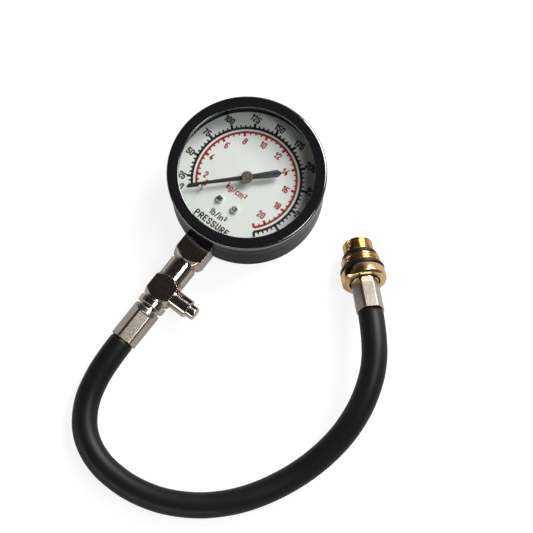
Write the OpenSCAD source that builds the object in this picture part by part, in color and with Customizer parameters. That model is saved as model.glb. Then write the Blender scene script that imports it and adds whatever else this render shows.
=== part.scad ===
// Compression tester gauge: a dial gauge with its movement, a tee with a push release valve,
// a short rubber hose and a stepped brass plug adapter for two sizes of spark plug hole.
// The gauge lies on its back. The origin is the centre of the back, +Z goes up through the dial,
// +Y is the top of the dial, and the stem leaves along -Y.

/* [Case] */
// Outside diameter of the drawn case
case_d = 72; // [70:0.5:80]
// Height of the case's full width, from its back to the seam under the bezel
case_h = 17.8; // [17.6:0.1:19]
// Sheet thickness of the case
case_wall = 1.4; // [1:0.1:1.6]
// Rounding of the case's back edge
case_round = 3; // [2:0.25:3]
// Step inwards at the neck that the bezel goes over
neck_step = 1.1; // [0.9:0.1:1.5]

/* [Bezel and window] */
// Depth of the whole gauge, from its back to the bezel's front
gauge_h = 32; // [31:0.5:38]
// How far the bezel's front bead stands out past the case
bezel_over = 0.5; // [0.4:0.05:1.2]
// Rounding of the bezel's front bead
bead_round = 1.6; // [1:0.1:2]
// Thickness of the bezel's lip over the lens
lip_t = 2; // [1.5:0.1:3]
// Slope of the lip's front, down towards the window
lip_slope = 0.5; // [0:0.1:1]
// Width of the bezel's lip, from the neck in to the window
lip_w = 3.95; // [3:0.05:7]
// Thickness of the lens
lens_t = 2; // [1.5:0.1:3]
// Thickness of the lens gasket
gasket_t = 0.8; // [0.5:0.1:1.2]

/* [Dial and pointer] */
// Thickness of the dial plate
dial_t = 0.6; // [0.4:0.1:1]
// Gap from the dial's face to the pointer
pointer_lift = 3.3; // [2.6:0.1:4]
// Thickness of the pointer blade
pointer_t = 0.4; // [0.3:0.05:0.6]
// Length of the pointer from its pivot to its tip
pointer_l = 27.6; // [22:0.2:29]
// Length of the pointer's tail
tail_l = 16; // [12:0.5:20]
// Width of the pointer at its tip
tip_w = 1.3; // [0.8:0.1:1.6]
// Width of the pointer at its hub
root_w = 2.6; // [1.8:0.1:3]
// Width of the tail at its widest
tail_w = 3.1; // [2.4:0.1:4]
// Diameter of the pointer hub
hub_d = 5.4; // [4.6:0.1:7]
// Resting angle of the pointer, clockwise from the top of the dial
rest_angle = -135; // [-150:1:-120]
// Diameter of the stop pin
stop_d = 1; // [0.8:0.1:1.2]
// Distance of the stop pin from the pivot
stop_at = 21; // [16:0.5:24]
// Head diameter of the dial screws
dial_head_d = 3.6; // [3:0.1:4.2]
// Distance between the dial screws
dial_screw_gap = 8.6; // [7.6:0.1:10]
// Distance of the dial screws below the pivot
dial_screw_y = 15.2; // [14.5:0.1:16]

/* [Movement] */
// Height of the seat that carries the movement
arm_top = 12; // [11.6:0.1:12.6]
// Thickness of the movement plates
plate_t = 1; // [0.8:0.1:1.2]
// Gap between the movement plates
plate_gap = 4; // [4:0.1:4.6]
// Height of the bosses that carry the dial
boss_h = 0.9; // [0.8:0.1:1.5]
// Gear module
gear_m = 0.3; // [0.28:0.01:0.32]
// Teeth on the pinion
pinion_teeth = 10; // [10:1:11]
// Teeth on the sector's whole circle
sector_teeth = 90; // [88:2:92]
// Teeth cut on the sector
sector_cut = 12; // [12:1:13]
// Thickness of the sector
sector_t = 1.2; // [0.9:0.1:1.3]
// Length of the sector's tail, from its pivot to the link
sector_tail = 6; // [5.6:0.1:6.4]
// Thickness of the link
link_t = 0.8; // [0.6:0.1:0.9]
// Mean radius of the pressure tube's curve
tube_r = 25; // [24.4:0.1:26]
// Thickness of the flattened pressure tube
tube_t = 2.4; // [2:0.1:2.8]
// Width of the flattened pressure tube
tube_w = 6.4; // [5.5:0.1:6.4]
// Wall of the pressure tube
tube_wall = 0.4; // [0.3:0.05:0.5]
// Distance from the tube's end to the link's pin
tip_reach = 9.9; // [9.4:0.1:10.4]

/* [Stem and tee] */
// Height of the stem's axis above the gauge's back
stem_z = 10; // [10:0.1:10.6]
// Width of the socket's square block
socket_w = 14; // [12.4:0.2:14]
// Length of the block outside the case
socket_out = 11.2; // [9:0.1:16]
// Gap between the block and the tee
socket_gap = 0.8; // [0.3:0.1:2]
// Diameter of the thread between the socket and the tee
stem_thread_d = 9.7; // [8.5:0.1:10.2]
// Diameter of the tee's upper neck
tee_neck_d = 13.2; // [12.4:0.1:14.4]
// Length of the tee's upper neck
tee_neck_l = 9.3; // [8.6:0.1:14]
// Width of the tee's square block
tee_w = 12.3; // [11.6:0.1:14]
// Length of the tee's square block
tee_block_l = 12.2; // [11:0.1:18]
// Diameter of the tee's lower ring
tee_ring_d = 13.4; // [12.4:0.1:15]
// Length of the tee's lower ring
tee_ring_l = 4; // [3:0.1:7]
// Diameter of the pressure passages
passage_d = 3.2; // [2:0.1:3.4]

/* [Release valve] */
// Diameter of the valve barrel
barrel_d = 8.9; // [8.2:0.1:10]
// Length of the valve barrel outside the tee
barrel_l = 9; // [8:0.1:14]
// Diameter of the push button
button_d = 6.4; // [5.6:0.1:6.8]
// How far the button stands out at rest
button_out = 4; // [3.2:0.1:5.5]
// Travel of the button
button_travel = 1.5; // [1:0.1:2]

/* [Hose and ferrules] */
// Outside diameter of the hose
hose_d = 11.6; // [10.8:0.1:11.6]
// Diameter of the ferrule before it is crimped
ferrule_d = 12.8; // [12.2:0.1:13.2]
// Width across the crimped flats
ferrule_flats = 11.6; // [11.4:0.1:12]
// Length of a ferrule
ferrule_l = 18; // [15:0.5:20]
// Length of the round rim that the crimp leaves
ferrule_rim = 2.2; // [1.6:0.1:4]
// Gap between the tee and the ferrule
ferrule_gap = 1.3; // [0.8:0.1:3]

/* [Plug adapter] */
// Diameter of the small plug thread
small_thread_d = 14; // [13.6:0.1:14.4]
// Length of the small plug thread
small_thread_l = 6.5; // [5:0.1:12]
// Diameter of the large plug thread
large_thread_d = 18; // [17.6:0.1:18.4]
// Length of the large plug thread
large_thread_l = 4.6; // [3.5:0.1:9]
// Cord thickness of the small O-ring
small_cord_d = 2.4; // [2:0.1:2.6]
// Cord thickness of the large O-ring
large_cord_d = 2.6; // [2:0.1:2.8]
// Diameter of the collar
collar_d = 20.7; // [20:0.1:24]
// Length of the collar
collar_l = 5.2; // [4.6:0.1:9]
// Depth of the recess in the collar's back
recess_l = 2.4; // [1.5:0.1:3]
// Travel of the check valve's pin
valve_travel = 1.2; // [0.8:0.1:1.5]
// Tilt of the adapter, its hose end up
adapter_tilt = 20; // [19:0.5:21]
// Direction from the adapter's tip to its hose end, from +X
adapter_turn = -45; // [-46:0.5:-44]

/* [Hidden] */
$fn = 64;

// Clearances: turned fits, loose sheet parts, soft seats, and the overshoot of a cut
fit_play = 0.02;
sheet_play = 0.2;
seat_play = 0.1;
over = 1;

// Case and bezel
case_r = case_d / 2;
case_in = case_r - case_wall;
neck_r = case_r - neck_step;
neck_in = neck_r - case_wall;
edge_break = 0.3;
lens_z = gauge_h - lip_t - lens_t;
neck_top = lens_z - gasket_t;
bezel_r = case_r + bezel_over;
bezel_play = 0.05;
bezel_in = neck_r + bezel_play;
window_r = bezel_in - lip_w;
lens_play = 0.4;
lens_r = bezel_in - lens_play;
bead_land = 0.9;
groove_t = 0.5;
groove_in = 0.5;
second_bead = 0.35;
second_bead_h = 0.7;
second_bead_fall = 0.5;

// Movement heights
back_plate_z = arm_top;
gear_z = back_plate_z + plate_t;
front_plate_z = gear_z + plate_gap;
dial_z = front_plate_z + plate_t + boss_h;
dial_face = dial_z + dial_t;
pointer_z = dial_face + pointer_lift;
hub_cap_h = 1.2;
hub_foot_r = 1.6;
hub_foot_l = 0.9;
hub_edge = 0.4;
hub_rim_w = 0.5;
hub_dish = 0.25;
hub_boss_r = 0.9;
tail_end_w = 0.8;
tail_point_l = 2.6;
spindle_r = 0.75;
spindle_tip_r = 0.5;
spindle_tip_l = 1.2;
spindle_out = 0.2;
spindle_top = pointer_z + pointer_t + hub_cap_h + spindle_out;
dial_r = neck_in - sheet_play;
dial_hole_r = 1.8;
dial_screw_r = 0.9;
dial_head_h = 1.8;
dial_slot_w = 0.7;
dial_slot_turns = [30, 100];
stop_rise = 0.6;
stop_flange_w = 0.4;
stop_flange_t = 0.3;
dial_screw_at = [for (s = [-1, 1]) [s * dial_screw_gap / 2, -dial_screw_y]];

// Gears: the pinion turns on the gauge's axis, the sector below it
pressure_angle = 25;
addendum = 0.8;
dedendum = 1;
thinning = 0.03;
pinion_pitch_r = gear_m * pinion_teeth / 2;
sector_pitch_r = gear_m * sector_teeth / 2;
sector_at = [0, -(pinion_pitch_r + sector_pitch_r)];
tooth_step = 360 / sector_teeth;
sector_lead = 2;
sector_lift = 1.2;
sector_z = gear_z + sector_lift;
sector_hub_r = 1.9;
sector_hub_h = 0.9;
sector_rim_w = 2;
sector_bar_w = 2;
spoke_in = 11.2;
spoke_out = 4.2;
pinion_over = 0.3;
arbor_r = 0.7;
tail_angle = -105;
tail_at = sector_at + sector_tail * [cos(tail_angle), sin(tail_angle)];
link_z = sector_z + sector_t + seat_play;
link_pin_r = 0.6;
link_head_h = 0.45;
tip_pin_rise = 0.5;
tip_shoulder_w = 0.7;
link_eye_r = 1.6;
link_slack = 0.3;

// Movement plates and their fasteners
pillar_x = 8.5;
pillar_rise = 3;
top_pillar_x = 7;
top_pillar_y = 4.5;
pillar_at = [[-pillar_x, sector_at.y + pillar_rise], [pillar_x, sector_at.y + pillar_rise],
    [-top_pillar_x, top_pillar_y]];
pillar_r = 1.5;
pillar_hole_l = 2.6;
plate_screw_r = 0.8;
plate_head_r = 1.6;
plate_head_h = 0.65;
plate_slot_w = 0.4;
plate_screw_l = plate_t + pillar_hole_l - sheet_play;
seat_screw_x = 4.4;
seat_screw_drop = 3.6;
seat_screw_at = [for (s = [-1, 1]) [s * seat_screw_x, sector_at.y - seat_screw_drop]];
seat_screw_r = 1;
seat_head_r = 1.7;
seat_head_h = 0.9;
seat_slot_w = 0.5;
seat_hole_l = 4;
seat_screw_l = plate_t + seat_hole_l - 0.5;
plate_half_w = 10.5;
plate_drop = 7;
plate_corner = 2;
plate_right_rise = 5;
plate_top_y = top_pillar_y + 2.5;
plate_top_w = 2;
plate_top_edge = 0.2;
plate_side_x = 5;
plate_side_y = 3;
boss_wall = 1.2;

// Pressure tube: it runs from the socket round the top of the dial to its free end
tube_mid_z = 8.2;
tube_from = -15;
tube_to = 268;
tube_seat_from = 250;
tube_seat_over = 0.3;
tube_end_at = tube_r * [cos(tube_from), sin(tube_from)];
tip_heading = tube_from - 90;
tip_at = tube_end_at + tip_reach * [cos(tip_heading), sin(tip_heading)];
lug_w = 3.6;
lug_h = 3.9;
cap_l = 2;
cap_w = lug_w + 0.2;
link_span = norm(tip_at - tail_at);
link_heading = atan2(tip_at.y - tail_at.y, tip_at.x - tail_at.x);

// Hairspring
hairspring_turns = 4;
hairspring_steps = 20;
hairspring_t = 0.16;
hairspring_w = 0.8;
hairspring_gap = 0.3;
hairspring_z = front_plate_z - hairspring_gap - hairspring_w;
collet_r = 1.6;
collet_gap = 0.15;
hairspring_in = collet_r + collet_gap;
stud_play = 0.04;
hairspring_out = 5.2;
hairspring_end = 100;
stud_r = 0.5;

// Socket
arm_half_w = 6.5;
arm_in = -13;
arm_gap = 0.8;
arm_out = -(case_r - case_round - arm_gap);
socket_end = case_r + socket_out;
chamfer_r = 6.6;
case_hole_w = socket_w + 2 * seat_play;
passage_wall = 1;
socket_inset_in = 4.5;
socket_inset_out = 2.7;
socket_screw_at = [arm_in - socket_inset_in, arm_out + socket_inset_out];
socket_screw_r = 1.5;
socket_slot_w = 0.8;
socket_slot_h = 0.7;
socket_head_r = 3;
socket_head_sink = 0.2;
socket_head_h = case_wall - socket_head_sink;
socket_screw_top = stem_z - passage_d / 2 - passage_wall;
stem_thread_l = 7;
stem_thread_gap = 0.4;

// Stations along the stem, as distances from the gauge's axis
tee_at = socket_end + socket_gap;
tee_block_at = tee_at + tee_neck_l;
tee_ring_at = tee_block_at + tee_block_l;
tee_end = tee_ring_at + tee_ring_l;
ferrule_at = tee_end + ferrule_gap;
tee_chamfer_r = 6.2;
tee_core_r = tee_chamfer_r - 0.6;
tee_core_in = 2;
tee_neck_edge = 0.5;
tee_ring_edge = 0.4;
tee_groove = 0.5;
passage_start = socket_gap + 1;
stem_thread_r = stem_thread_d / 2;
nipple_thread_r = 4.2;
nipple_thread_l = 4;
nipple_collar_r = 5.2;

// Release valve, measured from the stem's axis along +X
valve_at = tee_block_at + tee_block_l / 2;
barrel_seat = tee_w / 2;
barrel_end = barrel_seat + barrel_l;
barrel_thread_r = 3.6;
barrel_in = 1.9;
barrel_web = 2.1;
spring_bore_r = 2.5;
button_r = button_d / 2;
button_guide = 3.3;
button_in = button_travel + button_guide;
button_foot = barrel_end - button_in;
button_well = button_foot - button_travel - sheet_play;
button_play = 0.05;
button_round = 1.2;
button_flat_in = 1.6;
button_stem_r = 1;
button_stem_play = 0.15;
seal_gap = 0.15;
seal_t = 1.3;
seal_r = 2.2;
poppet_r = 1.6;
poppet_t = 0.8;
chamber_r = 2.5;
chamber_gap = 1;
barrel_edge = 0.5;

// Springs
spring_wire_d = 0.6;
spring_sides = 6;
spring_steps = 14;
release_spring_r = 1.75;
release_spring_turns = 6;
valve_spring_r = 1.6;
valve_spring_turns = 3;

// Ferrules, nipples and hose
hose_r = hose_d / 2;
ferrule_bore_r = 5.3;
ferrule_edge = 0.6;
crimp_round = 1;
ferrule_floor = 1.2;
barb_r = 2.9;
barb_tip_r = 3.5;
barb_pitch = 3.4;
barb_lead = 0.4;
barb_slope = 0.9;
barbs = 4;
nipple_bore_r = passage_d / 2 - 0.3;
nipple_lip = 0.4;
ferrule_mouth = 0.3;
gauge_crimp_turn = 18;
adapter_crimp_turn = 174;
hose_sides = 12;
hose_route = [
    [0, -92.8, 10], [0, -98, 9.8], [0.2, -104, 9.2], [0.6, -110, 8.2], [1.6, -116, 7.2],
    [3.2, -122, 6.4], [6, -127.8, 6], [10, -133.2, 6], [15, -137.4, 6], [21, -140.4, 6],
    [27.5, -142.2, 6], [34, -142.8, 6], [42, -142.5, 6], [50, -141, 6], [58, -138.4, 6],
    [66, -134.4, 6], [74, -129, 6], [81, -122.6, 6], [87, -115.6, 6], [92, -108, 6],
    [96.2, -100, 6.2], [99.6, -92, 7], [102.2, -84, 8.6], [104, -76, 10.8], [105, -68, 13.4],
    [105, -60, 16.2], [104, -52, 18.8], [102, -44.5, 20.8], [99.2, -37.5, 22], [95.4, -31, 22.4],
    [91, -25.3, 21.9], [86.7, -20.4, 21]];

// Plug adapter: its own axis runs from the tip, over the collar, to the hose
small_r = small_thread_d / 2;
large_r = large_thread_d / 2;
collar_r = collar_d / 2;
thread_chamfer = 0.6;
collar_front_edge = 0.5;
collar_back_edge = 0.9;
small_groove_at = small_thread_l;
large_thread_at = small_groove_at + small_cord_d + seat_play * 2;
large_groove_at = large_thread_at + large_thread_l;
collar_at = large_groove_at + large_cord_d + seat_play * 2;
adapter_l = collar_at + collar_l;
small_groove_depth = 1.1;
large_groove_depth = 1.3;
small_groove_r = small_r - small_groove_depth;
large_groove_r = large_r - large_groove_depth;
recess_r = 7.3;
recess_play = 0.3;
recess_floor = adapter_l - recess_l;
adapter_ferrule_gap = 0.3;
adapter_ferrule_at = recess_floor + adapter_ferrule_gap;
adapter_tip = [57.4, 9.2];
adapter_z = small_r * cos(adapter_tilt);
core_r = 2.6;
core_at = 1.6;
core_l = 6.4;
core_bore_r = 1.3;
core_end = core_at + core_l;
mouth_r = 4;
mouth_l = 2.4;
core_slot_w = 1;
core_slot_h = 1;
core_pin_r = 0.7;
core_pin_in = 0.4;
core_pin_at = core_at + core_pin_in - valve_travel;
core_pin_cap_w = 0.3;
core_pin_cap_h = 0.6;
core_flange_t = 0.5;
core_stub_r = 0.8;
core_stub_l = 0.7;
core_seal_r = 2.1;
core_seal_t = 1.2;
core_seal_at = core_end + seal_gap;
core_flange_at = core_seal_at + core_seal_t + fit_play;
core_stop_wall = 1.2;
core_stop_at = recess_floor - nipple_thread_l - core_stop_wall;

// A point by radius and angle, and the points of an arc about c from angle a0 to angle a1
function polar(r, a) = [r * cos(a), r * sin(a)];
function arc(c, r, a0, a1, n = 8) = [for (i = [0:n]) c + polar(r, a0 + (a1 - a0) * i / n)];

// Involute of an angle, in degrees, and the half angle of a tooth at radius r
function involute(a) = tan(a) * 180 / PI - a;
function half_tooth(teeth, r) =
    let (pitch_r = gear_m * teeth / 2, base_r = pitch_r * cos(pressure_angle))
    90 / teeth - thinning / pitch_r * 180 / PI + involute(pressure_angle)
        - involute(acos(min(1, base_r / r)));

// Outline of one involute tooth that points along angle a
function tooth(teeth, a, n = 4) =
    let (pitch_r = gear_m * teeth / 2,
        root_r = pitch_r - dedendum * gear_m,
        tip_r = pitch_r + addendum * gear_m,
        flank_r = max(root_r, pitch_r * cos(pressure_angle)),
        radii = [for (k = [0:n]) flank_r + (tip_r - flank_r) * k / n])
    concat(
        [polar(root_r, a - half_tooth(teeth, flank_r))],
        [for (k = [0:n]) polar(radii[k], a - half_tooth(teeth, radii[k]))],
        [for (k = [n:-1:0]) polar(radii[k], a + half_tooth(teeth, radii[k]))],
        [polar(root_r, a + half_tooth(teeth, flank_r))]);

function flatten(lists) = [for (l = lists) each l];

// A tube swept along a path: each ring stands square to the path there
function unit(v) = v / norm(v);
function heading(path, i) = unit(path[min(i + 1, len(path) - 1)] - path[max(i - 1, 0)]);
function side_of(d) = unit(cross(d, [0, 0, 1]));
function ring_at(p, d, r, n) =
    let (u = side_of(d), v = cross(u, d))
    [for (k = [0:n - 1]) p + r * (cos(360 * k / n) * u + sin(360 * k / n) * v)];
function sweep_faces(rings, n) = concat(
    [[for (k = [0:n - 1]) k]],
    [for (i = [0:rings - 2], k = [0:n - 1]) [i * n + k, (i + 1) * n + k, i * n + (k + 1) % n]],
    [for (i = [0:rings - 2], k = [0:n - 1])
        [(i + 1) * n + k, (i + 1) * n + (k + 1) % n, i * n + (k + 1) % n]],
    [[for (k = [n - 1:-1:0]) (rings - 1) * n + k]]);

module sweep(path, headings, r, n) {
    points = flatten([for (i = [0:len(path) - 1]) ring_at(path[i], headings[i], r, n)]);
    polyhedron(points, sweep_faces(len(path), n), convexity = 6);
}

// A coil spring along +Z from z0 to z1, with its ends a wire's half width inside them
module coil_spring(r, z0, z1, turns) {
    steps = turns * spring_steps;
    wire_r = spring_wire_d / 2;
    low = z0 + wire_r + seat_play;
    rise = (z1 - z0 - 2 * (wire_r + seat_play)) / steps;
    step_angle = 360 / spring_steps;
    path = [for (i = [0:steps]) [r * cos(i * step_angle), r * sin(i * step_angle), low + i * rise]];
    slope = rise / (r * step_angle * PI / 180);
    headings = [for (i = [0:steps]) unit([-sin(i * step_angle), cos(i * step_angle), slope])];
    sweep(path, headings, wire_r, spring_sides);
}

// Places a piece on the stem: its +Z runs down the stem from a station
module on_stem(station) {
    translate([0, -station, stem_z]) rotate([90, 0, 0]) children();
}

// Places a piece on the release valve's axis: its +Z runs along +X from the stem's axis
module on_valve() {
    translate([0, -valve_at, stem_z]) rotate([0, 90, 0]) children();
}

// Places a piece on the adapter's axis: its +Z runs from the tip to the hose
module on_adapter() {
    translate([adapter_tip.x, adapter_tip.y, adapter_z])
        rotate([0, 90 - adapter_tilt, adapter_turn])
            children();
}

// A square bar whose ends are turned off at 45 degrees down to end_r
module turned_bar(w, l, end_r, first, last) {
    outer = w / sqrt(2) + over;
    fall = outer - end_r;
    intersection() {
        translate([-w / 2, -w / 2, 0]) cube([w, w, l]);
        rotate_extrude() polygon([
            [0, 0],
            [first ? end_r : outer, 0],
            [outer, first ? fall : 0],
            [outer, last ? l - fall : l],
            [last ? end_r : outer, l],
            [0, l]]);
    }
}

// A small turned screw: its head's seat is at z = 0 and its shank goes down
module pan_screw(shank_r, shank_l, head_r, head_h, slot_w) {
    difference() {
        union() {
            translate([0, 0, -shank_l]) cylinder(r = shank_r, h = shank_l);
            rotate_extrude() polygon(concat(
                [[0, 0], [head_r, 0]],
                arc([head_r * 0.45, head_h * 0.4], head_r * 0.55, 0, 30, 2),
                [[head_r * 0.75, head_h], [0, head_h]]));
        }
        translate([-head_r, -slot_w / 2, head_h * 0.55]) cube([2 * head_r, slot_w, head_h]);
    }
}

module case_shell() {
    inner_round = case_round - case_wall;
    color("#17181b")
    difference() {
        rotate_extrude($fn = 96) polygon(concat(
            [[0, 0]],
            arc([case_r - case_round, case_round], case_round, -90, 0),
            [[case_r, case_h - edge_break], [case_r - edge_break, case_h],
                [neck_r, case_h], [neck_r, neck_top], [neck_in, neck_top],
                [neck_in, case_h], [case_in, case_h - case_wall]],
            arc([case_in - inner_round, case_wall + inner_round], inner_round, 0, -90),
            [[0, case_wall]]));
        translate([-case_hole_w / 2, -case_r - over, stem_z - case_hole_w / 2])
            cube([case_hole_w, case_r + arm_out + case_round + over, case_hole_w]);
        for (y = socket_screw_at) translate([0, y, -over]) {
            cylinder(r = socket_screw_r + seat_play, h = case_wall + 2 * over);
            cylinder(r = socket_head_r + seat_play, h = over + socket_head_sink);
            translate([0, 0, over + socket_head_sink])
                cylinder(r1 = socket_head_r + seat_play, r2 = socket_screw_r + seat_play, h = socket_head_h);
        }
    }
}

module bezel_ring() {
    bead_z = gauge_h - bead_round;
    groove_z = bead_z - bead_land;
    second_z = groove_z - groove_t;
    second_foot = second_z - second_bead_h;
    color("#141518")
    rotate_extrude($fn = 96) polygon(concat(
        [[bezel_in, case_h], [case_r - edge_break, case_h], [case_r, case_h + edge_break],
            [case_r, second_foot - second_bead_fall], [case_r + second_bead, second_foot],
            [case_r + second_bead, second_z],
            [bezel_r - groove_in, groove_z - groove_t / 2], [bezel_r, groove_z]],
        arc([bezel_r - bead_round, bead_z], bead_round, 0, 90),
        [[window_r + edge_break, gauge_h - lip_slope],
            [window_r, gauge_h - lip_slope - edge_break],
            [window_r, gauge_h - lip_t], [bezel_in, gauge_h - lip_t]]));
}

module lens() {
    color("#dfe8e6", 0.35)
    translate([0, 0, lens_z]) cylinder(r = lens_r, h = lens_t, $fn = 96);
}

module lens_gasket() {
    color("#1b1b1b")
    translate([0, 0, neck_top]) difference() {
        cylinder(r = lens_r, h = gasket_t, $fn = 96);
        translate([0, 0, -over]) cylinder(r = neck_in - sheet_play, h = gasket_t + 2 * over, $fn = 96);
    }
}

function stop_place() =
    let (reach = (stop_at - hub_d / 2) / (pointer_l - hub_d / 2),
        half_w = (root_w + (tip_w - root_w) * reach) / 2,
        aside = half_w + stop_d / 2 + seat_play)
    polar(norm([stop_at, aside]), 90 - rest_angle + atan2(aside, stop_at));

module dial_plate() {
    color("#dfe6df")
    translate([0, 0, dial_z]) difference() {
        cylinder(r = dial_r, h = dial_t, $fn = 96);
        translate([0, 0, -over]) {
            cylinder(r = dial_hole_r, h = dial_t + 2 * over);
            for (p = dial_screw_at) translate(p)
                cylinder(r = dial_screw_r + seat_play, h = dial_t + 2 * over);
            translate(stop_place()) cylinder(d = stop_d + 2 * fit_play, h = dial_t + 2 * over);
        }
    }
}

module dial_screws() {
    color("#b9b4aa")
    for (i = [0, 1]) translate([dial_screw_at[i].x, dial_screw_at[i].y, dial_face])
        rotate([0, 0, dial_slot_turns[i]])
            pan_screw(dial_screw_r, dial_t + boss_h + plate_t, dial_head_d / 2, dial_head_h, dial_slot_w);
}

module stop_pin() {
    place = stop_place();
    color("#8f8b84")
    translate([place.x, place.y, dial_z]) {
        cylinder(d = stop_d, h = pointer_z + pointer_t + stop_rise - dial_z);
        translate([0, 0, -stop_flange_t]) cylinder(d = stop_d + 2 * stop_flange_w, h = stop_flange_t);
    }
}

module socket() {
    bar_l = socket_end + arm_out;
    color("#8d8a86")
    difference() {
        union() {
            translate([-arm_half_w, arm_out, case_wall])
                cube([2 * arm_half_w, arm_in - arm_out, arm_top - case_wall]);
            on_stem(-arm_out) turned_bar(socket_w, bar_l, chamfer_r, false, true);
            on_stem(socket_end) cylinder(r = stem_thread_r, h = socket_gap + stem_thread_l);
        }
        // Seat of the pressure tube
        translate([0, 0, tube_mid_z - tube_w / 2])
            rotate([0, 0, tube_seat_from])
                rotate_extrude(angle = tube_to - tube_seat_from + tube_seat_over)
                    translate([tube_r - tube_t / 2 - fit_play, 0])
                        square([tube_t + 2 * fit_play, arm_top]);
        on_stem(tube_r)
            cylinder(d = passage_d, h = socket_end + socket_gap + stem_thread_l - tube_r + over);
        for (y = socket_screw_at) translate([0, y, 0])
            cylinder(r = socket_screw_r + fit_play, h = socket_screw_top + seat_play);
        for (p = seat_screw_at) translate([p.x, p.y, arm_top - seat_hole_l])
            cylinder(r = seat_screw_r + fit_play, h = seat_hole_l + over);
    }
}

module socket_screws() {
    color("#3c3c3e")
    for (y = socket_screw_at) translate([0, y, socket_head_sink]) difference() {
        union() {
            cylinder(r1 = socket_head_r, r2 = socket_screw_r, h = socket_head_h);
            cylinder(r = socket_screw_r, h = socket_screw_top - socket_head_sink);
        }
        translate([-socket_head_r, -socket_slot_w / 2, -over])
            cube([2 * socket_head_r, socket_slot_w, over + socket_slot_h]);
    }
}

// Flattened section of the pressure tube, with round edges
module tube_section(t, w) {
    square([t, w - t], center = true);
    for (s = [-1, 1]) translate([0, s * (w - t) / 2]) circle(d = t);
}

module bourdon_tube() {
    color("#b98b3e")
    translate([0, 0, tube_mid_z])
        rotate([0, 0, tube_from])
            rotate_extrude(angle = tube_to - tube_from)
                translate([tube_r, 0]) difference() {
                    tube_section(tube_t, tube_w);
                    tube_section(tube_t - 2 * tube_wall, tube_w - 2 * tube_wall);
                }
}

// Places a piece at the tube's free end: its +X carries the tube's line on
module at_tube_end() {
    translate([tube_end_at.x, tube_end_at.y, tube_mid_z]) rotate([0, 0, tip_heading]) children();
}

module tube_end_piece() {
    color("#c49a4a")
    at_tube_end() difference() {
        union() {
            translate([0, -cap_w / 2, -tube_w / 2]) cube([cap_l, cap_w, tube_w]);
            translate([0, -lug_w / 2, tube_w / 2 - lug_h]) cube([tip_reach, lug_w, lug_h]);
            translate([tip_reach, 0, tube_w / 2 - lug_h]) cylinder(d = lug_w, h = lug_h);
        }
        translate([tip_reach, 0, tube_w / 2 - lug_h - over])
            cylinder(r = link_pin_r + fit_play, h = lug_h + 2 * over);
    }
}

module tip_pin() {
    foot = tube_mid_z + tube_w / 2 - lug_h;
    shoulder = tube_mid_z + tube_w / 2;
    color("#a9a9a6")
    translate([tip_at.x, tip_at.y, 0]) {
        translate([0, 0, foot]) cylinder(r = link_pin_r, h = link_z + link_t + tip_pin_rise - foot);
        translate([0, 0, shoulder])
            cylinder(r = link_pin_r + tip_shoulder_w, h = link_z - shoulder - seat_play);
    }
}

module link_bar() {
    color("#c8a250")
    translate([tail_at.x, tail_at.y, link_z]) rotate([0, 0, link_heading])
        linear_extrude(link_t) difference() {
            union() {
                circle(r = link_eye_r);
                translate([link_span, 0]) circle(r = link_eye_r);
                translate([0, -link_eye_r / 2]) square([link_span, link_eye_r]);
            }
            circle(r = link_pin_r + link_slack);
            translate([link_span, 0]) circle(r = link_pin_r + fit_play);
        }
}

module link_screw() {
    head = link_z + link_t + seat_play;
    color("#a9a9a6")
    translate([tail_at.x, tail_at.y, 0]) {
        translate([0, 0, sector_z]) cylinder(r = link_pin_r, h = head - sector_z);
        translate([0, 0, head]) cylinder(r = link_eye_r, h = link_head_h);
    }
}

// Outline that both movement plates share
module plate_outline() {
    low = sector_at.y - plate_drop;
    polygon([[-plate_half_w + plate_corner, low], [plate_half_w - plate_corner, low],
        [plate_half_w, low + plate_corner], [plate_half_w, sector_at.y + plate_right_rise],
        [plate_side_x, plate_side_y], [plate_top_w, plate_top_y - plate_top_edge],
        [-plate_half_w + plate_corner, plate_top_y], [-plate_half_w, plate_top_y - plate_corner],
        [-plate_half_w, low + plate_corner]]);
}

module movement_back_plate() {
    color("#c8a250")
    translate([0, 0, back_plate_z]) difference() {
        linear_extrude(plate_t) plate_outline();
        translate([0, 0, -over]) {
            cylinder(r = spindle_r + fit_play, h = plate_t + 2 * over);
            translate(sector_at) cylinder(r = arbor_r + fit_play, h = plate_t + 2 * over);
            for (p = seat_screw_at) translate(p)
                cylinder(r = seat_screw_r + seat_play, h = plate_t + 2 * over);
        }
    }
}

module movement_front_plate() {
    color("#c8a250")
    translate([0, 0, front_plate_z]) difference() {
        union() {
            linear_extrude(plate_t) plate_outline();
            for (p = dial_screw_at) translate(p)
                cylinder(r = dial_screw_r + boss_wall, h = plate_t + boss_h);
        }
        translate([0, 0, -over]) {
            cylinder(r = spindle_r + fit_play, h = plate_t + 2 * over);
            translate(sector_at) cylinder(r = arbor_r + fit_play, h = plate_t + 2 * over);
            for (p = pillar_at) translate(p)
                cylinder(r = plate_screw_r + fit_play, h = plate_t + 2 * over);
            for (p = dial_screw_at) translate(p)
                cylinder(r = dial_screw_r + fit_play, h = plate_t + boss_h + 2 * over);
            translate(stud_place()) cylinder(r = stud_r + fit_play, h = plate_t + 2 * over);
        }
    }
}

module movement_pillars() {
    color("#b48c40")
    for (p = pillar_at) translate([p.x, p.y, gear_z]) difference() {
        cylinder(r = pillar_r, h = plate_gap);
        translate([0, 0, plate_gap - pillar_hole_l])
            cylinder(r = plate_screw_r + fit_play, h = pillar_hole_l + over);
    }
}

module movement_screws() {
    color("#8f8b84")
    for (p = seat_screw_at) translate([p.x, p.y, gear_z])
        pan_screw(seat_screw_r, seat_screw_l, seat_head_r, seat_head_h, seat_slot_w);
}

module plate_screws() {
    color("#8f8b84")
    for (p = pillar_at) translate([p.x, p.y, front_plate_z + plate_t])
        pan_screw(plate_screw_r, plate_screw_l, plate_head_r, plate_head_h, plate_slot_w);
}

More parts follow.
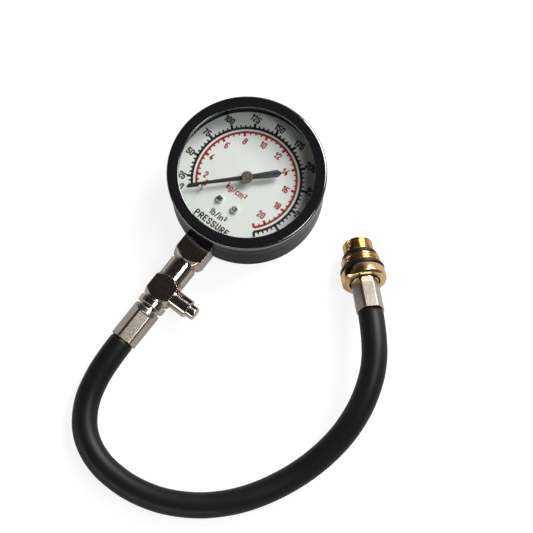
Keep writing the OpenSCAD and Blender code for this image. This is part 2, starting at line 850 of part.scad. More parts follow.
// Sector: involute teeth on an arc, an open web and the tail that the link pulls
module sector_gear() {
    first = 90 - (sector_cut - sector_lead - 0.5) * tooth_step;
    last = first + (sector_cut - 1) * tooth_step;
    root_r = sector_pitch_r - dedendum * gear_m;
    window_in = sector_hub_r + sector_rim_w;
    window_out = root_r - sector_rim_w;
    color("#c8a250")
    translate([sector_at.x, sector_at.y, sector_z]) {
        linear_extrude(sector_t) difference() {
            union() {
                polygon(concat(
                    [[0, 0], polar(root_r, first - tooth_step / 2)],
                    flatten([for (i = [0:sector_cut - 1]) tooth(sector_teeth, first + i * tooth_step)]),
                    [polar(root_r, last + tooth_step / 2)]));
                circle(r = sector_hub_r);
                rotate(tail_angle) translate([0, -sector_bar_w / 2]) square([sector_tail, sector_bar_w]);
                rotate(tail_angle) translate([sector_tail, 0]) circle(r = link_eye_r);
            }
            circle(r = arbor_r + fit_play / 2);
            polygon(concat(
                arc([0, 0], window_in, first + spoke_in, last - spoke_in, 4),
                arc([0, 0], window_out, last - spoke_out, first + spoke_out, 8)));
            rotate(tail_angle) translate([sector_tail, 0]) circle(r = link_pin_r + fit_play / 2);
        }
        translate([0, 0, -sector_hub_h]) difference() {
            cylinder(r = sector_hub_r, h = sector_hub_h);
            translate([0, 0, -over]) cylinder(r = arbor_r + fit_play / 2, h = sector_hub_h + 2 * over);
        }
    }
}

module sector_arbor() {
    color("#a9a9a6")
    translate([sector_at.x, sector_at.y, back_plate_z + seat_play])
        cylinder(r = arbor_r, h = front_plate_z + plate_t - back_plate_z - 2 * seat_play);
}

// Pinion and spindle, cut from one rod
module pinion() {
    step = 360 / pinion_teeth;
    shoulder = pointer_z - spindle_tip_l;
    color("#d0ad5c") {
        translate([0, 0, sector_z - pinion_over]) linear_extrude(sector_t + 2 * pinion_over)
            polygon(flatten([for (i = [0:pinion_teeth - 1]) tooth(pinion_teeth, -90 + i * step)]));
        translate([0, 0, back_plate_z + seat_play])
            cylinder(r = spindle_r, h = shoulder - back_plate_z - seat_play);
        translate([0, 0, shoulder]) cylinder(r = spindle_tip_r, h = spindle_top - shoulder);
    }
}

// Flat spiral spring between the spindle's collet and the stud on the front plate
module hairspring() {
    steps = hairspring_turns * hairspring_steps;
    turn = 360 / hairspring_steps;
    grow = (hairspring_out - hairspring_in) / steps;
    start = hairspring_end - 360 * hairspring_turns;
    color("#6f7f96")
    translate([0, 0, hairspring_z]) linear_extrude(hairspring_w) polygon(concat(
        [for (i = [0:steps]) polar(hairspring_in + i * grow, start + i * turn)],
        [for (i = [steps:-1:0]) polar(hairspring_in + i * grow + hairspring_t, start + i * turn)]));
}

module hairspring_collet() {
    color("#c8a250")
    translate([0, 0, hairspring_z]) difference() {
        cylinder(r = collet_r, h = hairspring_w);
        translate([0, 0, -over]) cylinder(r = spindle_r + fit_play / 2, h = hairspring_w + 2 * over);
    }
}

function stud_place() = polar(hairspring_out + hairspring_t + stud_r + stud_play, hairspring_end);

module hairspring_stud() {
    place = stud_place();
    color("#c8a250")
    translate([place.x, place.y, hairspring_z])
        cylinder(r = stud_r, h = front_plate_z + plate_t - hairspring_z);
}

module pointer_blade() {
    shoulder = tail_point_l - tail_l;
    color("#0c0c0d")
    translate([0, 0, pointer_z]) rotate([0, 0, 90 - rest_angle]) linear_extrude(pointer_t) difference() {
        union() {
            circle(d = hub_d);
            polygon([[0, -root_w / 2], [pointer_l - tip_w / 2, -tip_w / 2], [pointer_l, 0],
                [pointer_l - tip_w / 2, tip_w / 2], [0, root_w / 2]]);
            polygon([[0, root_w / 3], [shoulder, tail_w / 2], [-tail_l, tail_end_w / 2],
                [-tail_l, -tail_end_w / 2], [shoulder, -tail_w / 2], [0, -root_w / 3]]);
        }
        circle(r = hub_foot_r + fit_play / 2);
    }
}

module pointer_hub() {
    hub_r = hub_d / 2;
    foot = pointer_z - hub_foot_l;
    cap = pointer_z + pointer_t;
    top = cap + hub_cap_h;
    dish = top - hub_dish;
    dish_r = hub_r - hub_edge - hub_rim_w;
    bore = spindle_tip_r + fit_play / 2;
    color("#2a2724")
    rotate_extrude() polygon([
        [bore, foot], [hub_foot_r, foot], [hub_foot_r, cap], [hub_r, cap], [hub_r, top - hub_edge],
        [hub_r - hub_edge, top], [dish_r, top], [dish_r - hub_dish, dish],
        [hub_boss_r + hub_dish, dish], [hub_boss_r, top], [bore, top]]);
}

module tee_body() {
    neck_r_out = tee_neck_d / 2;
    ring_r_out = tee_ring_d / 2;
    chamber_l = button_travel + poppet_t + chamber_gap;
    color("#a39f99")
    difference() {
        union() {
            on_stem(tee_at) rotate_extrude() polygon([
                [0, 0], [neck_r_out - tee_neck_edge, 0], [neck_r_out, tee_neck_edge],
                [neck_r_out, tee_neck_l], [tee_core_r, tee_neck_l],
                [tee_core_r, tee_neck_l + tee_core_in], [0, tee_neck_l + tee_core_in]]);
            on_stem(tee_block_at) turned_bar(tee_w, tee_block_l, tee_chamfer_r, true, true);
            on_stem(tee_ring_at) rotate_extrude() polygon([
                [0, -tee_core_in], [tee_core_r, -tee_core_in], [tee_core_r, tee_groove],
                [ring_r_out, tee_groove + tee_ring_edge], [ring_r_out, tee_ring_l - tee_ring_edge],
                [ring_r_out - tee_ring_edge, tee_ring_l], [0, tee_ring_l]]);
        }
        on_stem(tee_at - over)
            cylinder(r = stem_thread_r + fit_play, h = over + stem_thread_l + stem_thread_gap);
        on_stem(tee_at + passage_start)
            cylinder(d = passage_d, h = tee_end - tee_at - passage_start + over);
        on_stem(tee_end - nipple_thread_l)
            cylinder(r = nipple_thread_r + fit_play, h = nipple_thread_l + over);
        on_valve() {
            translate([0, 0, -chamber_l]) cylinder(r = chamber_r, h = chamber_l + barrel_in);
            translate([0, 0, barrel_in - seat_play])
                cylinder(r = barrel_thread_r + fit_play, h = barrel_seat);
        }
    }
}

module release_barrel() {
    color("#b3afa9")
    on_valve() difference() {
        union() {
            translate([0, 0, barrel_in]) cylinder(r = barrel_thread_r, h = barrel_seat - barrel_in + over);
            translate([0, 0, barrel_seat]) rotate_extrude() polygon([
                [0, 0], [barrel_d / 2, 0], [barrel_d / 2, barrel_l - barrel_edge],
                [barrel_d / 2 - barrel_edge, barrel_l], [0, barrel_l]]);
        }
        translate([0, 0, barrel_in - over])
            cylinder(r = button_stem_r + button_stem_play, h = barrel_l + barrel_seat);
        translate([0, 0, barrel_in + barrel_web]) cylinder(r = spring_bore_r, h = barrel_l + barrel_seat);
        translate([0, 0, button_well])
            cylinder(r = button_r + button_play, h = button_in + button_travel + over);
    }
}

module release_button() {
    tip = barrel_end + button_out;
    poppet_top = barrel_in - seal_gap - seal_t - fit_play;
    color("#b3afa9")
    on_valve() rotate_extrude() polygon(concat(
        [[0, poppet_top - poppet_t], [poppet_r, poppet_top - poppet_t], [poppet_r, poppet_top],
            [button_stem_r, poppet_top], [button_stem_r, button_foot], [button_r, button_foot],
            [button_r, tip - button_round]],
        arc([button_r - button_round, tip - button_round], button_round, 15, 75, 4),
        [[button_r - button_flat_in, tip], [0, tip]]));
}

module release_spring() {
    color("#8d9298")
    on_valve() coil_spring(release_spring_r, barrel_in + barrel_web, button_foot, release_spring_turns);
}

module release_seal() {
    color("#1a1a1a")
    on_valve() translate([0, 0, barrel_in - seal_gap - seal_t]) difference() {
        cylinder(r = seal_r, h = seal_t);
        translate([0, 0, -over]) cylinder(r = button_stem_r + fit_play / 2, h = seal_t + 2 * over);
    }
}

// Hose nipple: a male thread below z = 0, a collar up to gap, then the barbed tail
module hose_nipple(thread_l, gap) {
    tail_at = gap + ferrule_floor + barb_lead;
    tail = [for (i = [0:barbs - 1]) each [
        [barb_r, tail_at + i * barb_pitch],
        [barb_tip_r, tail_at + barb_lead + i * barb_pitch],
        [barb_r, tail_at + (i + barb_slope) * barb_pitch]]];
    tail_end = tail_at + barbs * barb_pitch;
    foot = seat_play - thread_l;
    rotate_extrude() polygon(concat(
        [[nipple_bore_r, foot], [nipple_thread_r, foot], [nipple_thread_r, 0],
            [nipple_collar_r, 0], [nipple_collar_r, gap], [barb_r, gap]],
        tail,
        [[barb_r - nipple_lip, tail_end], [nipple_bore_r, tail_end]]));
}

module gauge_hose_nipple() {
    color("#a39f99")
    on_stem(tee_end) hose_nipple(nipple_thread_l, ferrule_gap);
}

module adapter_hose_nipple() {
    color("#a39f99")
    on_adapter() translate([0, 0, recess_floor]) hose_nipple(nipple_thread_l, adapter_ferrule_gap);
}

// Crimped ferrule: a round cup whose sides are pressed to six flats by rounded dies
module ferrule() {
    r = ferrule_d / 2;
    difference() {
        rotate_extrude() polygon(concat(
            [[barb_r + fit_play, 0]],
            arc([r - ferrule_edge, ferrule_edge], ferrule_edge, -90, 0, 4),
            [[r, ferrule_l - ferrule_mouth], [r - ferrule_mouth, ferrule_l],
                [ferrule_bore_r, ferrule_l], [ferrule_bore_r, ferrule_floor],
                [barb_r + fit_play, ferrule_floor]]));
        for (i = [0:5]) rotate([0, 0, 60 * i]) translate([ferrule_flats / 2, 0, ferrule_rim]) {
            translate([0, -r, crimp_round]) cube([r, 2 * r, ferrule_l]);
            translate([crimp_round, -r, 0]) cube([r, 2 * r, ferrule_l]);
            translate([crimp_round, 0, crimp_round]) rotate([90, 0, 0])
                cylinder(r = crimp_round, h = 2 * r, center = true);
        }
    }
}

module gauge_ferrule() {
    color("#a8a39b")
    on_stem(ferrule_at) rotate([0, 0, gauge_crimp_turn]) ferrule();
}

module adapter_ferrule() {
    color("#a8a39b")
    on_adapter() translate([0, 0, adapter_ferrule_at]) rotate([0, 0, adapter_crimp_turn]) ferrule();
}

// Hose: a plain tube along its route, its last ring on the adapter's ferrule
module hose() {
    level = cos(adapter_tilt);
    turn = [cos(adapter_turn) * level, sin(adapter_turn) * level, sin(adapter_tilt)];
    start = [0, -ferrule_at - ferrule_l, stem_z];
    end = [adapter_tip.x, adapter_tip.y, adapter_z] + (adapter_ferrule_at + ferrule_l) * turn;
    path = concat([start], [for (i = [1:len(hose_route) - 1]) hose_route[i]], [end]);
    last = len(path) - 1;
    headings = [for (i = [0:last]) i == 0 ? [0, -1, 0] : i == last ? -turn : heading(path, i)];
    color("#1c1c1d")
    sweep(path, headings, hose_r, hose_sides);
}

// Stepped brass adapter, turned in one piece: two plain thread lands, two ring grooves and a collar
module adapter_body() {
    color("#c9973f")
    on_adapter() difference() {
        rotate_extrude() polygon([
            [0, 0], [small_r - thread_chamfer, 0], [small_r, thread_chamfer],
            [small_r, small_groove_at], [small_groove_r, small_groove_at],
            [small_groove_r, large_thread_at], [large_r - thread_chamfer, large_thread_at],
            [large_r, large_thread_at + thread_chamfer], [large_r, large_groove_at],
            [large_groove_r, large_groove_at], [large_groove_r, collar_at],
            [collar_r - collar_front_edge, collar_at], [collar_r, collar_at + collar_front_edge],
            [collar_r, adapter_l - collar_back_edge], [collar_r - collar_back_edge, adapter_l],
            [0, adapter_l]]);
        translate([0, 0, -over]) cylinder(r = mouth_r, h = mouth_l + over);
        cylinder(r = core_r + fit_play, h = core_stop_at);
        cylinder(r = nipple_bore_r, h = adapter_l);
        translate([0, 0, recess_floor - nipple_thread_l])
            cylinder(r = nipple_thread_r + fit_play, h = nipple_thread_l + over);
        translate([0, 0, recess_floor])
            cylinder(r1 = ferrule_d / 2 + recess_play, r2 = recess_r, h = recess_l + fit_play);
    }
}

// An O-ring of a cord thickness that sits on a groove of a radius
module o_ring(groove_r, cord_d) {
    rotate_extrude() translate([groove_r + cord_d / 2 + fit_play, 0]) circle(d = cord_d, $fn = 32);
}

module small_o_ring() {
    color("#161616")
    on_adapter() translate([0, 0, (small_groove_at + large_thread_at) / 2])
        o_ring(small_groove_r, small_cord_d);
}

module large_o_ring() {
    color("#161616")
    on_adapter() translate([0, 0, (large_groove_at + collar_at) / 2])
        o_ring(large_groove_r, large_cord_d);
}

// Check valve core, screwed into the adapter from its tip
module valve_core_body() {
    color("#c9a45a")
    on_adapter() translate([0, 0, core_at]) difference() {
        cylinder(r = core_r, h = core_l);
        translate([0, 0, -over]) cylinder(r = core_bore_r, h = core_l + 2 * over);
        translate([-core_r, -core_slot_w / 2, -over]) cube([2 * core_r, core_slot_w, core_slot_h + over]);
    }
}

module valve_core_pin() {
    cap_r = core_pin_r + core_pin_cap_w;
    cap_end = core_pin_at + core_pin_cap_h;
    back = core_flange_at + core_flange_t;
    color("#a9a9a6")
    on_adapter() rotate_extrude() polygon([
        [0, core_pin_at], [cap_r, core_pin_at], [cap_r, cap_end], [core_pin_r, cap_end + core_pin_cap_w],
        [core_pin_r, core_flange_at], [core_seal_r, core_flange_at], [core_seal_r, back],
        [core_stub_r, back], [core_stub_r, back + core_stub_l], [0, back + core_stub_l]]);
}

module valve_core_seal() {
    color("#1a1a1a")
    on_adapter() translate([0, 0, core_seal_at]) difference() {
        cylinder(r = core_seal_r, h = core_seal_t);
        translate([0, 0, -over]) cylinder(r = core_pin_r + fit_play / 2, h = core_seal_t + 2 * over);
    }
}

module valve_core_spring() {
    foot = core_flange_at + core_flange_t;
    color("#8d9298")
    on_adapter() coil_spring(valve_spring_r, foot, core_stop_at, valve_spring_turns);
}

case_shell();
bezel_ring();
lens();
lens_gasket();
dial_plate();
dial_screws();
stop_pin();
socket();
socket_screws();
bourdon_tube();
tube_end_piece();
tip_pin();
link_bar();
link_screw();
movement_back_plate();
movement_front_plate();
movement_pillars();
movement_screws();
plate_screws();
sector_gear();
sector_arbor();
pinion();
hairspring();
hairspring_collet();
hairspring_stud();
pointer_blade();
pointer_hub();
tee_body();
release_barrel();
release_button();
release_spring();
release_seal();
gauge_hose_nipple();
gauge_ferrule();
hose();
adapter_hose_nipple();
adapter_ferrule();
adapter_body();
small_o_ring();
large_o_ring();
valve_core_body();
valve_core_pin();
valve_core_seal();
valve_core_spring();
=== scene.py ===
import bmesh
import bpy
import numpy as np
from mathutils import Matrix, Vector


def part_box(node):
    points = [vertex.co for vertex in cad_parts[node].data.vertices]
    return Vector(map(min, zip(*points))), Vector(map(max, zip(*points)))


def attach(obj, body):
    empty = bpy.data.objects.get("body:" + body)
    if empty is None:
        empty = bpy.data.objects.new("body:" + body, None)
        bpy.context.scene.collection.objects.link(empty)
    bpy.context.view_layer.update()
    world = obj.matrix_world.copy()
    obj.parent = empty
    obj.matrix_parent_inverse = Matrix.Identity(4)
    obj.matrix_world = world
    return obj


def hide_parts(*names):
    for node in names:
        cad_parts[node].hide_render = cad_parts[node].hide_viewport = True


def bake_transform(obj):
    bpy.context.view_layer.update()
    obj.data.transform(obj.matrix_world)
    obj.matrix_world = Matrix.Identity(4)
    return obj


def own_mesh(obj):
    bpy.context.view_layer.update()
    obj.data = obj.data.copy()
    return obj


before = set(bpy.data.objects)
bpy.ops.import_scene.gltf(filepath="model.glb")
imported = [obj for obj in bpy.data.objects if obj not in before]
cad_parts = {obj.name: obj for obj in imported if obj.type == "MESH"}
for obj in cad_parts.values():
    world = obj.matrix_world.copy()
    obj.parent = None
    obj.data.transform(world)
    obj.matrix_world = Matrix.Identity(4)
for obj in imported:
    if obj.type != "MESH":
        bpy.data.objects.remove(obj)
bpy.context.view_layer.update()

# Compression tester gauge: the looks of the gauge, its tee, hose and plug adapter.
# Sizes are in millimetres in the part's frame, and MM turns them to metres for the meshes.
MM = 0.001

# Camera, at the photograph's viewing angle

PHOTO_PX = 533
FOCAL_PX = 1300
EYE_AZIMUTH, EYE_ELEVATION = np.radians([37.48, 75.83])
EYE_DISTANCE = 610.56
EYE_TARGET = np.array([29.22, -23.52, 0])

eye_back = np.array([
    np.sin(EYE_AZIMUTH) * np.cos(EYE_ELEVATION),
    -np.cos(EYE_AZIMUTH) * np.cos(EYE_ELEVATION),
    np.sin(EYE_ELEVATION)])
eye_right = np.array([np.cos(EYE_AZIMUTH), np.sin(EYE_AZIMUTH), 0])
eye_up = np.cross(eye_back, eye_right)
eye_place = (EYE_TARGET + EYE_DISTANCE * eye_back) * MM

camera_data = bpy.data.cameras.new("camera")
camera_data.lens = FOCAL_PX / PHOTO_PX * camera_data.sensor_width
camera_data.clip_start = 0.01
camera = bpy.data.objects.new("camera", camera_data)
camera.matrix_world = Matrix([
    [*row, place] for row, place in zip(np.stack([eye_right, eye_up, eye_back], 1), eye_place)
] + [[0, 0, 0, 1]])
bpy.context.scene.collection.objects.link(camera)
bpy.context.scene.camera = camera
bpy.context.scene.view_settings.view_transform = "Standard"


# Mesh making: points closer than MERGE become one, and edges past SHARP_ANGLE degrees stay crisp

MERGE = 0.0005
SHARP_ANGLE = 40


def piece(name, points, body, material, wrap_rows=False, along=None):
    """A grid of points as one closed skin. Columns run round and join up; rows join up too with
    wrap_rows, and otherwise each end is closed by a row at its own middle. along is kept as a
    point attribute, in metres, for patterns that follow the piece."""
    rows, columns = points.shape[:2]
    along = np.zeros(rows) if along is None else along
    if not wrap_rows:
        middles = [np.broadcast_to(end.mean(0), (1, columns, 3)) for end in (points[0], points[-1])]
        points = np.concatenate([middles[0], points, middles[1]])
        along = np.concatenate([along[:1], along, along[-1:]])
        rows += 2
    index = np.arange(rows * columns).reshape(rows, columns)
    index = np.concatenate([index, index[:, :1]], 1)
    if wrap_rows:
        index = np.concatenate([index, index[:1]])
    quads = np.stack([index[:-1, :-1], index[:-1, 1:], index[1:, 1:], index[1:, :-1]], -1)
    return skin(name, points.reshape(-1, 3), quads.reshape(-1, 4), body, material,
                np.repeat(along, columns))


def skin(name, points, quads, body, material, along=None):
    """Four-sided faces over points in millimetres, merged, turned outwards and shaded smooth
    where the angle between faces is small."""
    mesh = bpy.data.meshes.new(name)
    mesh.vertices.add(len(points))
    mesh.vertices.foreach_set("co", (points * MM).astype(np.float32).ravel())
    mesh.loops.add(quads.size)
    mesh.loops.foreach_set("vertex_index", quads.astype(np.int32).ravel())
    mesh.polygons.add(len(quads))
    mesh.polygons.foreach_set("loop_start", np.arange(0, quads.size, 4, dtype=np.int32))
    mesh.update(calc_edges=True)
    if along is not None:
        mesh.attributes.new("along", "FLOAT", "POINT").data.foreach_set(
            "value", (along * MM).astype(np.float32))
    return dress(name, mesh, body, material)


def dress(name, mesh, body, material):
    """Closes a mesh's seams and poles, gives it its finish and lets it ride on a body, when it is given
    one."""
    work = bmesh.new()
    work.from_mesh(mesh)
    bmesh.ops.remove_doubles(work, verts=work.verts, dist=MERGE * MM)
    bmesh.ops.dissolve_degenerate(work, edges=work.edges, dist=MERGE * MM)
    bmesh.ops.recalc_face_normals(work, faces=work.faces)
    work.to_mesh(mesh)
    work.free()
    mesh.polygons.foreach_set("use_smooth", np.ones(len(mesh.polygons), bool))
    mesh.set_sharp_from_angle(angle=np.radians(SHARP_ANGLE))
    mesh.materials.append(material)
    made = bpy.data.objects.new(name, mesh)
    bpy.context.scene.collection.objects.link(made)
    if body:
        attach(made, body)
    return made


def soften(outline, reach, steps=6):
    """Each corner of a closed outline becomes a quadratic curve that leaves the outline `reach`
    before the corner and joins it `reach` after, never past the middle of a side."""
    outline = np.asarray(outline, float)
    reach = np.broadcast_to(reach, len(outline))[:, None]
    ends = []
    for other in (np.roll(outline, 1, 0), np.roll(outline, -1, 0)):
        side = other - outline
        length = np.linalg.norm(side, axis=1, keepdims=True)
        ends.append(outline + side / length * np.minimum(reach, length / 2))
    t = np.linspace(0, 1, steps)[:, None, None]
    curve = (1 - t) ** 2 * ends[0] + 2 * t * (1 - t) * outline + t ** 2 * ends[1]
    return curve.transpose(1, 0, 2).reshape(-1, 2)


def turned(radius, along, around=128):
    """A surface of revolution: at each station along the axis, radius may be one number or a row
    of radii round the axis."""
    radius = np.asarray(radius, float)
    radius = radius[:, None] if radius.ndim == 1 else radius
    angle = np.arange(around) * 2 * np.pi / around
    along = np.asarray(along, float)[:, None]
    return np.stack(np.broadcast_arrays(
        radius * np.cos(angle), radius * np.sin(angle), along), -1)


def seated(points, origin, x_to, y_to, z_to):
    """Local points carried to an origin, with the local axes along three directions."""
    return np.asarray(origin, float) + points @ np.array([x_to, y_to, z_to], float)


def soft_min(a, b, edge):
    """The lesser of two distances, with the edge between them rounded over about `edge`."""
    return -edge * np.logaddexp(-a / edge, -b / edge)


# Frames of the two axes: down the stem, and up the adapter

STEM_Z = 10
STEM = ((1, 0, 0), (0, 0, 1), (0, -1, 0))

ADAPTER_TIP = np.array([57.4, 9.2, 6.578])
ADAPTER_TURN, ADAPTER_TILT = np.radians([-45, 20])
across = np.array([-np.sin(ADAPTER_TURN), np.cos(ADAPTER_TURN), 0])
up_adapter = np.array([
    np.cos(ADAPTER_TURN) * np.cos(ADAPTER_TILT),
    np.sin(ADAPTER_TURN) * np.cos(ADAPTER_TILT),
    np.sin(ADAPTER_TILT)])
ADAPTER = (np.cross(across, up_adapter), across, up_adapter)

TEE_FERRULE_AT = -74.8
ADAPTER_FERRULE_AT = 19.6
FERRULE_L = 18


# Finishes

def linear(text):
    """An sRGB hex colour as linear RGBA."""
    srgb = np.array([int(text[i:i + 2], 16) for i in (1, 3, 5)]) / 255
    return (*np.where(srgb <= 0.04045, srgb / 12.92, ((srgb + 0.055) / 1.055) ** 2.4), 1)


def per_mm(size):
    """The scale of a pattern whose features are `size` millimetres across."""
    return 1 / (size * MM)


def add(tree, kind, inputs=(), **settings):
    """Adds a node, sets its properties, and fills its inputs: a socket is linked, and any other
    value is set."""
    made = tree.nodes.new(kind)
    for name, value in settings.items():
        setattr(made, name, value)
    for name, value in dict(inputs).items():
        if isinstance(value, bpy.types.NodeSocket):
            tree.links.new(value, made.inputs[name])
        else:
            made.inputs[name].default_value = value
    return made


def blank(name):
    """A new material with an empty node tree."""
    made = bpy.data.materials.new(name)
    made.use_nodes = True
    made.node_tree.nodes.clear()
    return made, made.node_tree


TOOL_LINE_SPREAD = 0.03


def finish(name, pale, deep, rough, grain, relief, stretch=(1, 1, 1), mottle=6, follow=False,
           edge=0, **shader):
    """A solid surface: its colour drifts between pale and deep over patches `mottle` mm across, and
    its roughness range and relief (mm) follow a grain (mm) that may be stretched along an axis.
    With follow, the grain's lines run round the piece at its own `along` value. edge softens the
    look of sharp edges over that many mm. Other names set the shader's own sockets."""
    made, tree = blank(name)
    place = add(tree, "ShaderNodeTexCoord").outputs["Object"]
    patches = add(tree, "ShaderNodeTexNoise", {
        "Vector": place, "Scale": per_mm(mottle), "Detail": 3.0}).outputs["Fac"]
    colour = add(tree, "ShaderNodeMix", {0: patches, 6: linear(deep), 7: linear(pale)},
                 data_type="RGBA").outputs[2]
    if follow:
        along = add(tree, "ShaderNodeAttribute", attribute_name="along").outputs["Fac"]
        spread = add(tree, "ShaderNodeVectorMath", {0: place, 1: (TOOL_LINE_SPREAD,) * 3},
                     operation="MULTIPLY").outputs[0]
        lines = add(tree, "ShaderNodeCombineXYZ", {"X": along}).outputs[0]
        lie = add(tree, "ShaderNodeVectorMath", {0: lines, 1: spread}, operation="ADD").outputs[0]
    else:
        lie = add(tree, "ShaderNodeMapping", {"Vector": place, "Scale": stretch}).outputs[0]
    grains = add(tree, "ShaderNodeTexNoise", {
        "Vector": lie, "Scale": per_mm(grain), "Detail": 4.0, "Roughness": 0.6}).outputs["Fac"]
    roughness = add(tree, "ShaderNodeMapRange", {
        "Value": grains, "From Min": 0.3, "From Max": 0.7,
        "To Min": rough[0], "To Max": rough[1]}).outputs[0]
    bump = {"Height": grains, "Distance": relief * MM, "Strength": 1.0}
    if edge:
        bump["Normal"] = add(tree, "ShaderNodeBevel", {"Radius": edge * MM}, samples=4).outputs[0]
    normal = add(tree, "ShaderNodeBump", bump).outputs[0]
    shade = add(tree, "ShaderNodeBsdfPrincipled", {
        "Base Color": colour, "Roughness": roughness, "Normal": normal, **shader})
    add(tree, "ShaderNodeOutputMaterial", {"Surface": shade.outputs[0]})
    return made


# Stove enamel on the case, sprayed and baked: deep black, with a quiet sheen and a faint orange peel
case_enamel = finish("stove_enamel_satin_black", "#111319", "#0a0b0f", (0.16, 0.26), 0.9, 0.005,
                     IOR=1.08)
# Stove enamel on the spun bezel: glossier, with sharp reflections along its beads
bezel_enamel = finish("stove_enamel_gloss_black", "#131316", "#0b0b0d", (0.08, 0.16), 0.8, 0.002,
                      IOR=2.1)
# Nitrile rubber, compression moulded: black with a soft grey sheen
ring_rubber = finish("moulded_nitrile_rubber", "#131314", "#0c0c0d", (0.34, 0.46), 0.25, 0.006, IOR=1.35)
# Extruded rubber hose: black, drawn smooth, with a wide soft sheen
hose_rubber = finish("extruded_rubber_hose", "#161617", "#0e0e0f", (0.38, 0.5), 0.35, 0.01, IOR=1.3)
# Dial enamel, sprayed on sheet metal: matt white with a hint of green
dial_enamel = finish("matt_white_dial_enamel", "#d5dbd4", "#cfd5ce", (0.5, 0.6), 0.3, 0.002)
# Nickel plate on turned brass: a near mirror, a little warm, with fine tool lines round the stem
nickel_stem = finish("nickel_plate_on_turned_stem", "#d2c4b6", "#b8a99b", (0.05, 0.2), 0.5, 0.004,
                     stretch=(0.3, 1, 0.3), mottle=3, edge=0.2, Metallic=1.0)
# Nickel plate on the release valve: the tool lines run round the valve's own axis
nickel_valve = finish("nickel_plate_on_turned_valve", "#d6cabd", "#bdb0a2", (0.05, 0.22), 0.4, 0.003,
                      stretch=(1, 0.3, 0.3), mottle=3, edge=0.15, Metallic=1.0)
# Nickel plate on crimped steel: greyer and more satin, rubbed by the dies
nickel_crimp = finish("satin_nickel_on_crimped_steel", "#c2b7ac", "#a0968c", (0.22, 0.36), 0.3, 0.002,
                      Metallic=1.0)
# Nickel-plated screws, rolled and tumbled: small bright heads with soft edges
nickel_screw = finish("tumbled_nickel_screws", "#f0ece4", "#d8d3c9", (0.16, 0.3), 0.2, 0.003,
                      edge=0.12, Metallic=1.0)
# Turned brass, left bright: pale gold, with tool lines round it and a little brown tarnish
adapter_brass = finish("turned_brass", "#efd09a", "#cd9f62", (0.11, 0.23), 0.14, 0.003,
                       follow=True, Metallic=1.0)
# Stamped sheet brass of the movement, with a rolled grain
movement_brass = finish("stamped_sheet_brass", "#d5ad57", "#b88d3c", (0.22, 0.36), 0.2, 0.002,
                        stretch=(0.1, 1, 1), edge=0.1, Metallic=1.0)
# Drawn phosphor bronze tube, warmer and duller than brass
tube_bronze = finish("drawn_phosphor_bronze", "#c08a4c", "#a06c38", (0.25, 0.4), 0.3, 0.003,
                     Metallic=1.0)
# Turned steel pins, cut bright
pin_steel = finish("turned_bright_steel", "#b5b4b0", "#9c9b98", (0.2, 0.32), 0.15, 0.002,
                   Metallic=1.0)
# Tempered spring wire, blued by its heat treatment
spring_steel = finish("tempered_spring_wire", "#8690a0", "#6d7685", (0.25, 0.38), 0.2, 0.002,
                      Metallic=1.0)
# Oil-blackened steel screws
black_steel = finish("oil_blackened_steel", "#35353a", "#232327", (0.3, 0.46), 0.3, 0.004,
                     edge=0.15, Metallic=1.0)
# Black lacquer on the pointer: matt, a little dusty
pointer_lacquer = finish("matt_black_lacquer", "#171718", "#0d0d0e", (0.4, 0.55), 0.3, 0.003)
# Bronzed brass of the pointer hub: grey-brown with a metal gleam
hub_bronze = finish("bronzed_brass", "#938a80", "#6e665e", (0.28, 0.4), 0.15, 0.003, Metallic=0.8)
# Printing ink, screened on the dial: flat, a little uneven
black_ink = finish("black_screen_ink", "#0e0e10", "#08080a", (0.45, 0.6), 0.2, 0.001, mottle=2)
red_ink = finish("red_screen_ink", "#a01c26", "#8c1620", (0.45, 0.6), 0.2, 0.001, mottle=2)

# Moulded clear window: it shows the dial, and only a thin reflection, on its outer sides alone
window, tree = blank("clear_moulded_polystyrene")
outside = add(tree, "ShaderNodeMath", {
    0: 1.0, 1: add(tree, "ShaderNodeNewGeometry").outputs["Backfacing"]},
    operation="SUBTRACT").outputs[0]
fresnel = add(tree, "ShaderNodeMath", {
    0: add(tree, "ShaderNodeFresnel", {"IOR": 1.3}).outputs[0], 1: outside},
    operation="MULTIPLY").outputs[0]
through = add(tree, "ShaderNodeBsdfTransparent", {"Color": linear("#fdfdfd")}).outputs[0]
gleam = add(tree, "ShaderNodeBsdfGlossy", {"Roughness": 0.04}).outputs[0]
add(tree, "ShaderNodeOutputMaterial", {
    "Surface": add(tree, "ShaderNodeMixShader", {0: fresnel, 1: through, 2: gleam}).outputs[0]})

for node_finish, names in [
        (case_enamel, "case_shell"), (bezel_enamel, "bezel_ring"), (window, "lens"),
        (ring_rubber, "lens_gasket release_seal small_o_ring large_o_ring valve_core_seal"),
        (hose_rubber, "hose"), (dial_enamel, "dial_plate"), (nickel_screw, "dial_screws stop_pin"),
        (nickel_stem, "socket tee_body gauge_hose_nipple adapter_hose_nipple"),
        (nickel_valve, "release_barrel release_button"),
        (nickel_crimp, "gauge_ferrule adapter_ferrule"), (adapter_brass, "adapter_body"),
        (movement_brass, "movement_back_plate movement_front_plate movement_pillars sector_gear "
                         "hairspring_collet hairspring_stud link_bar tube_end_piece pinion "
                         "valve_core_body"),
        (tube_bronze, "bourdon_tube"),
        (pin_steel, "tip_pin link_screw sector_arbor movement_screws plate_screws valve_core_pin"),
        (spring_steel, "hairspring release_spring valve_core_spring"),
        (black_steel, "socket_screws"), (pointer_lacquer, "pointer_blade"),
        (hub_bronze, "pointer_hub")]:
    for name in names.split():
        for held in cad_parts[name].material_slots:
            held.material = node_finish


# Hose: the route of its centre line, from the tee's ferrule to the adapter's

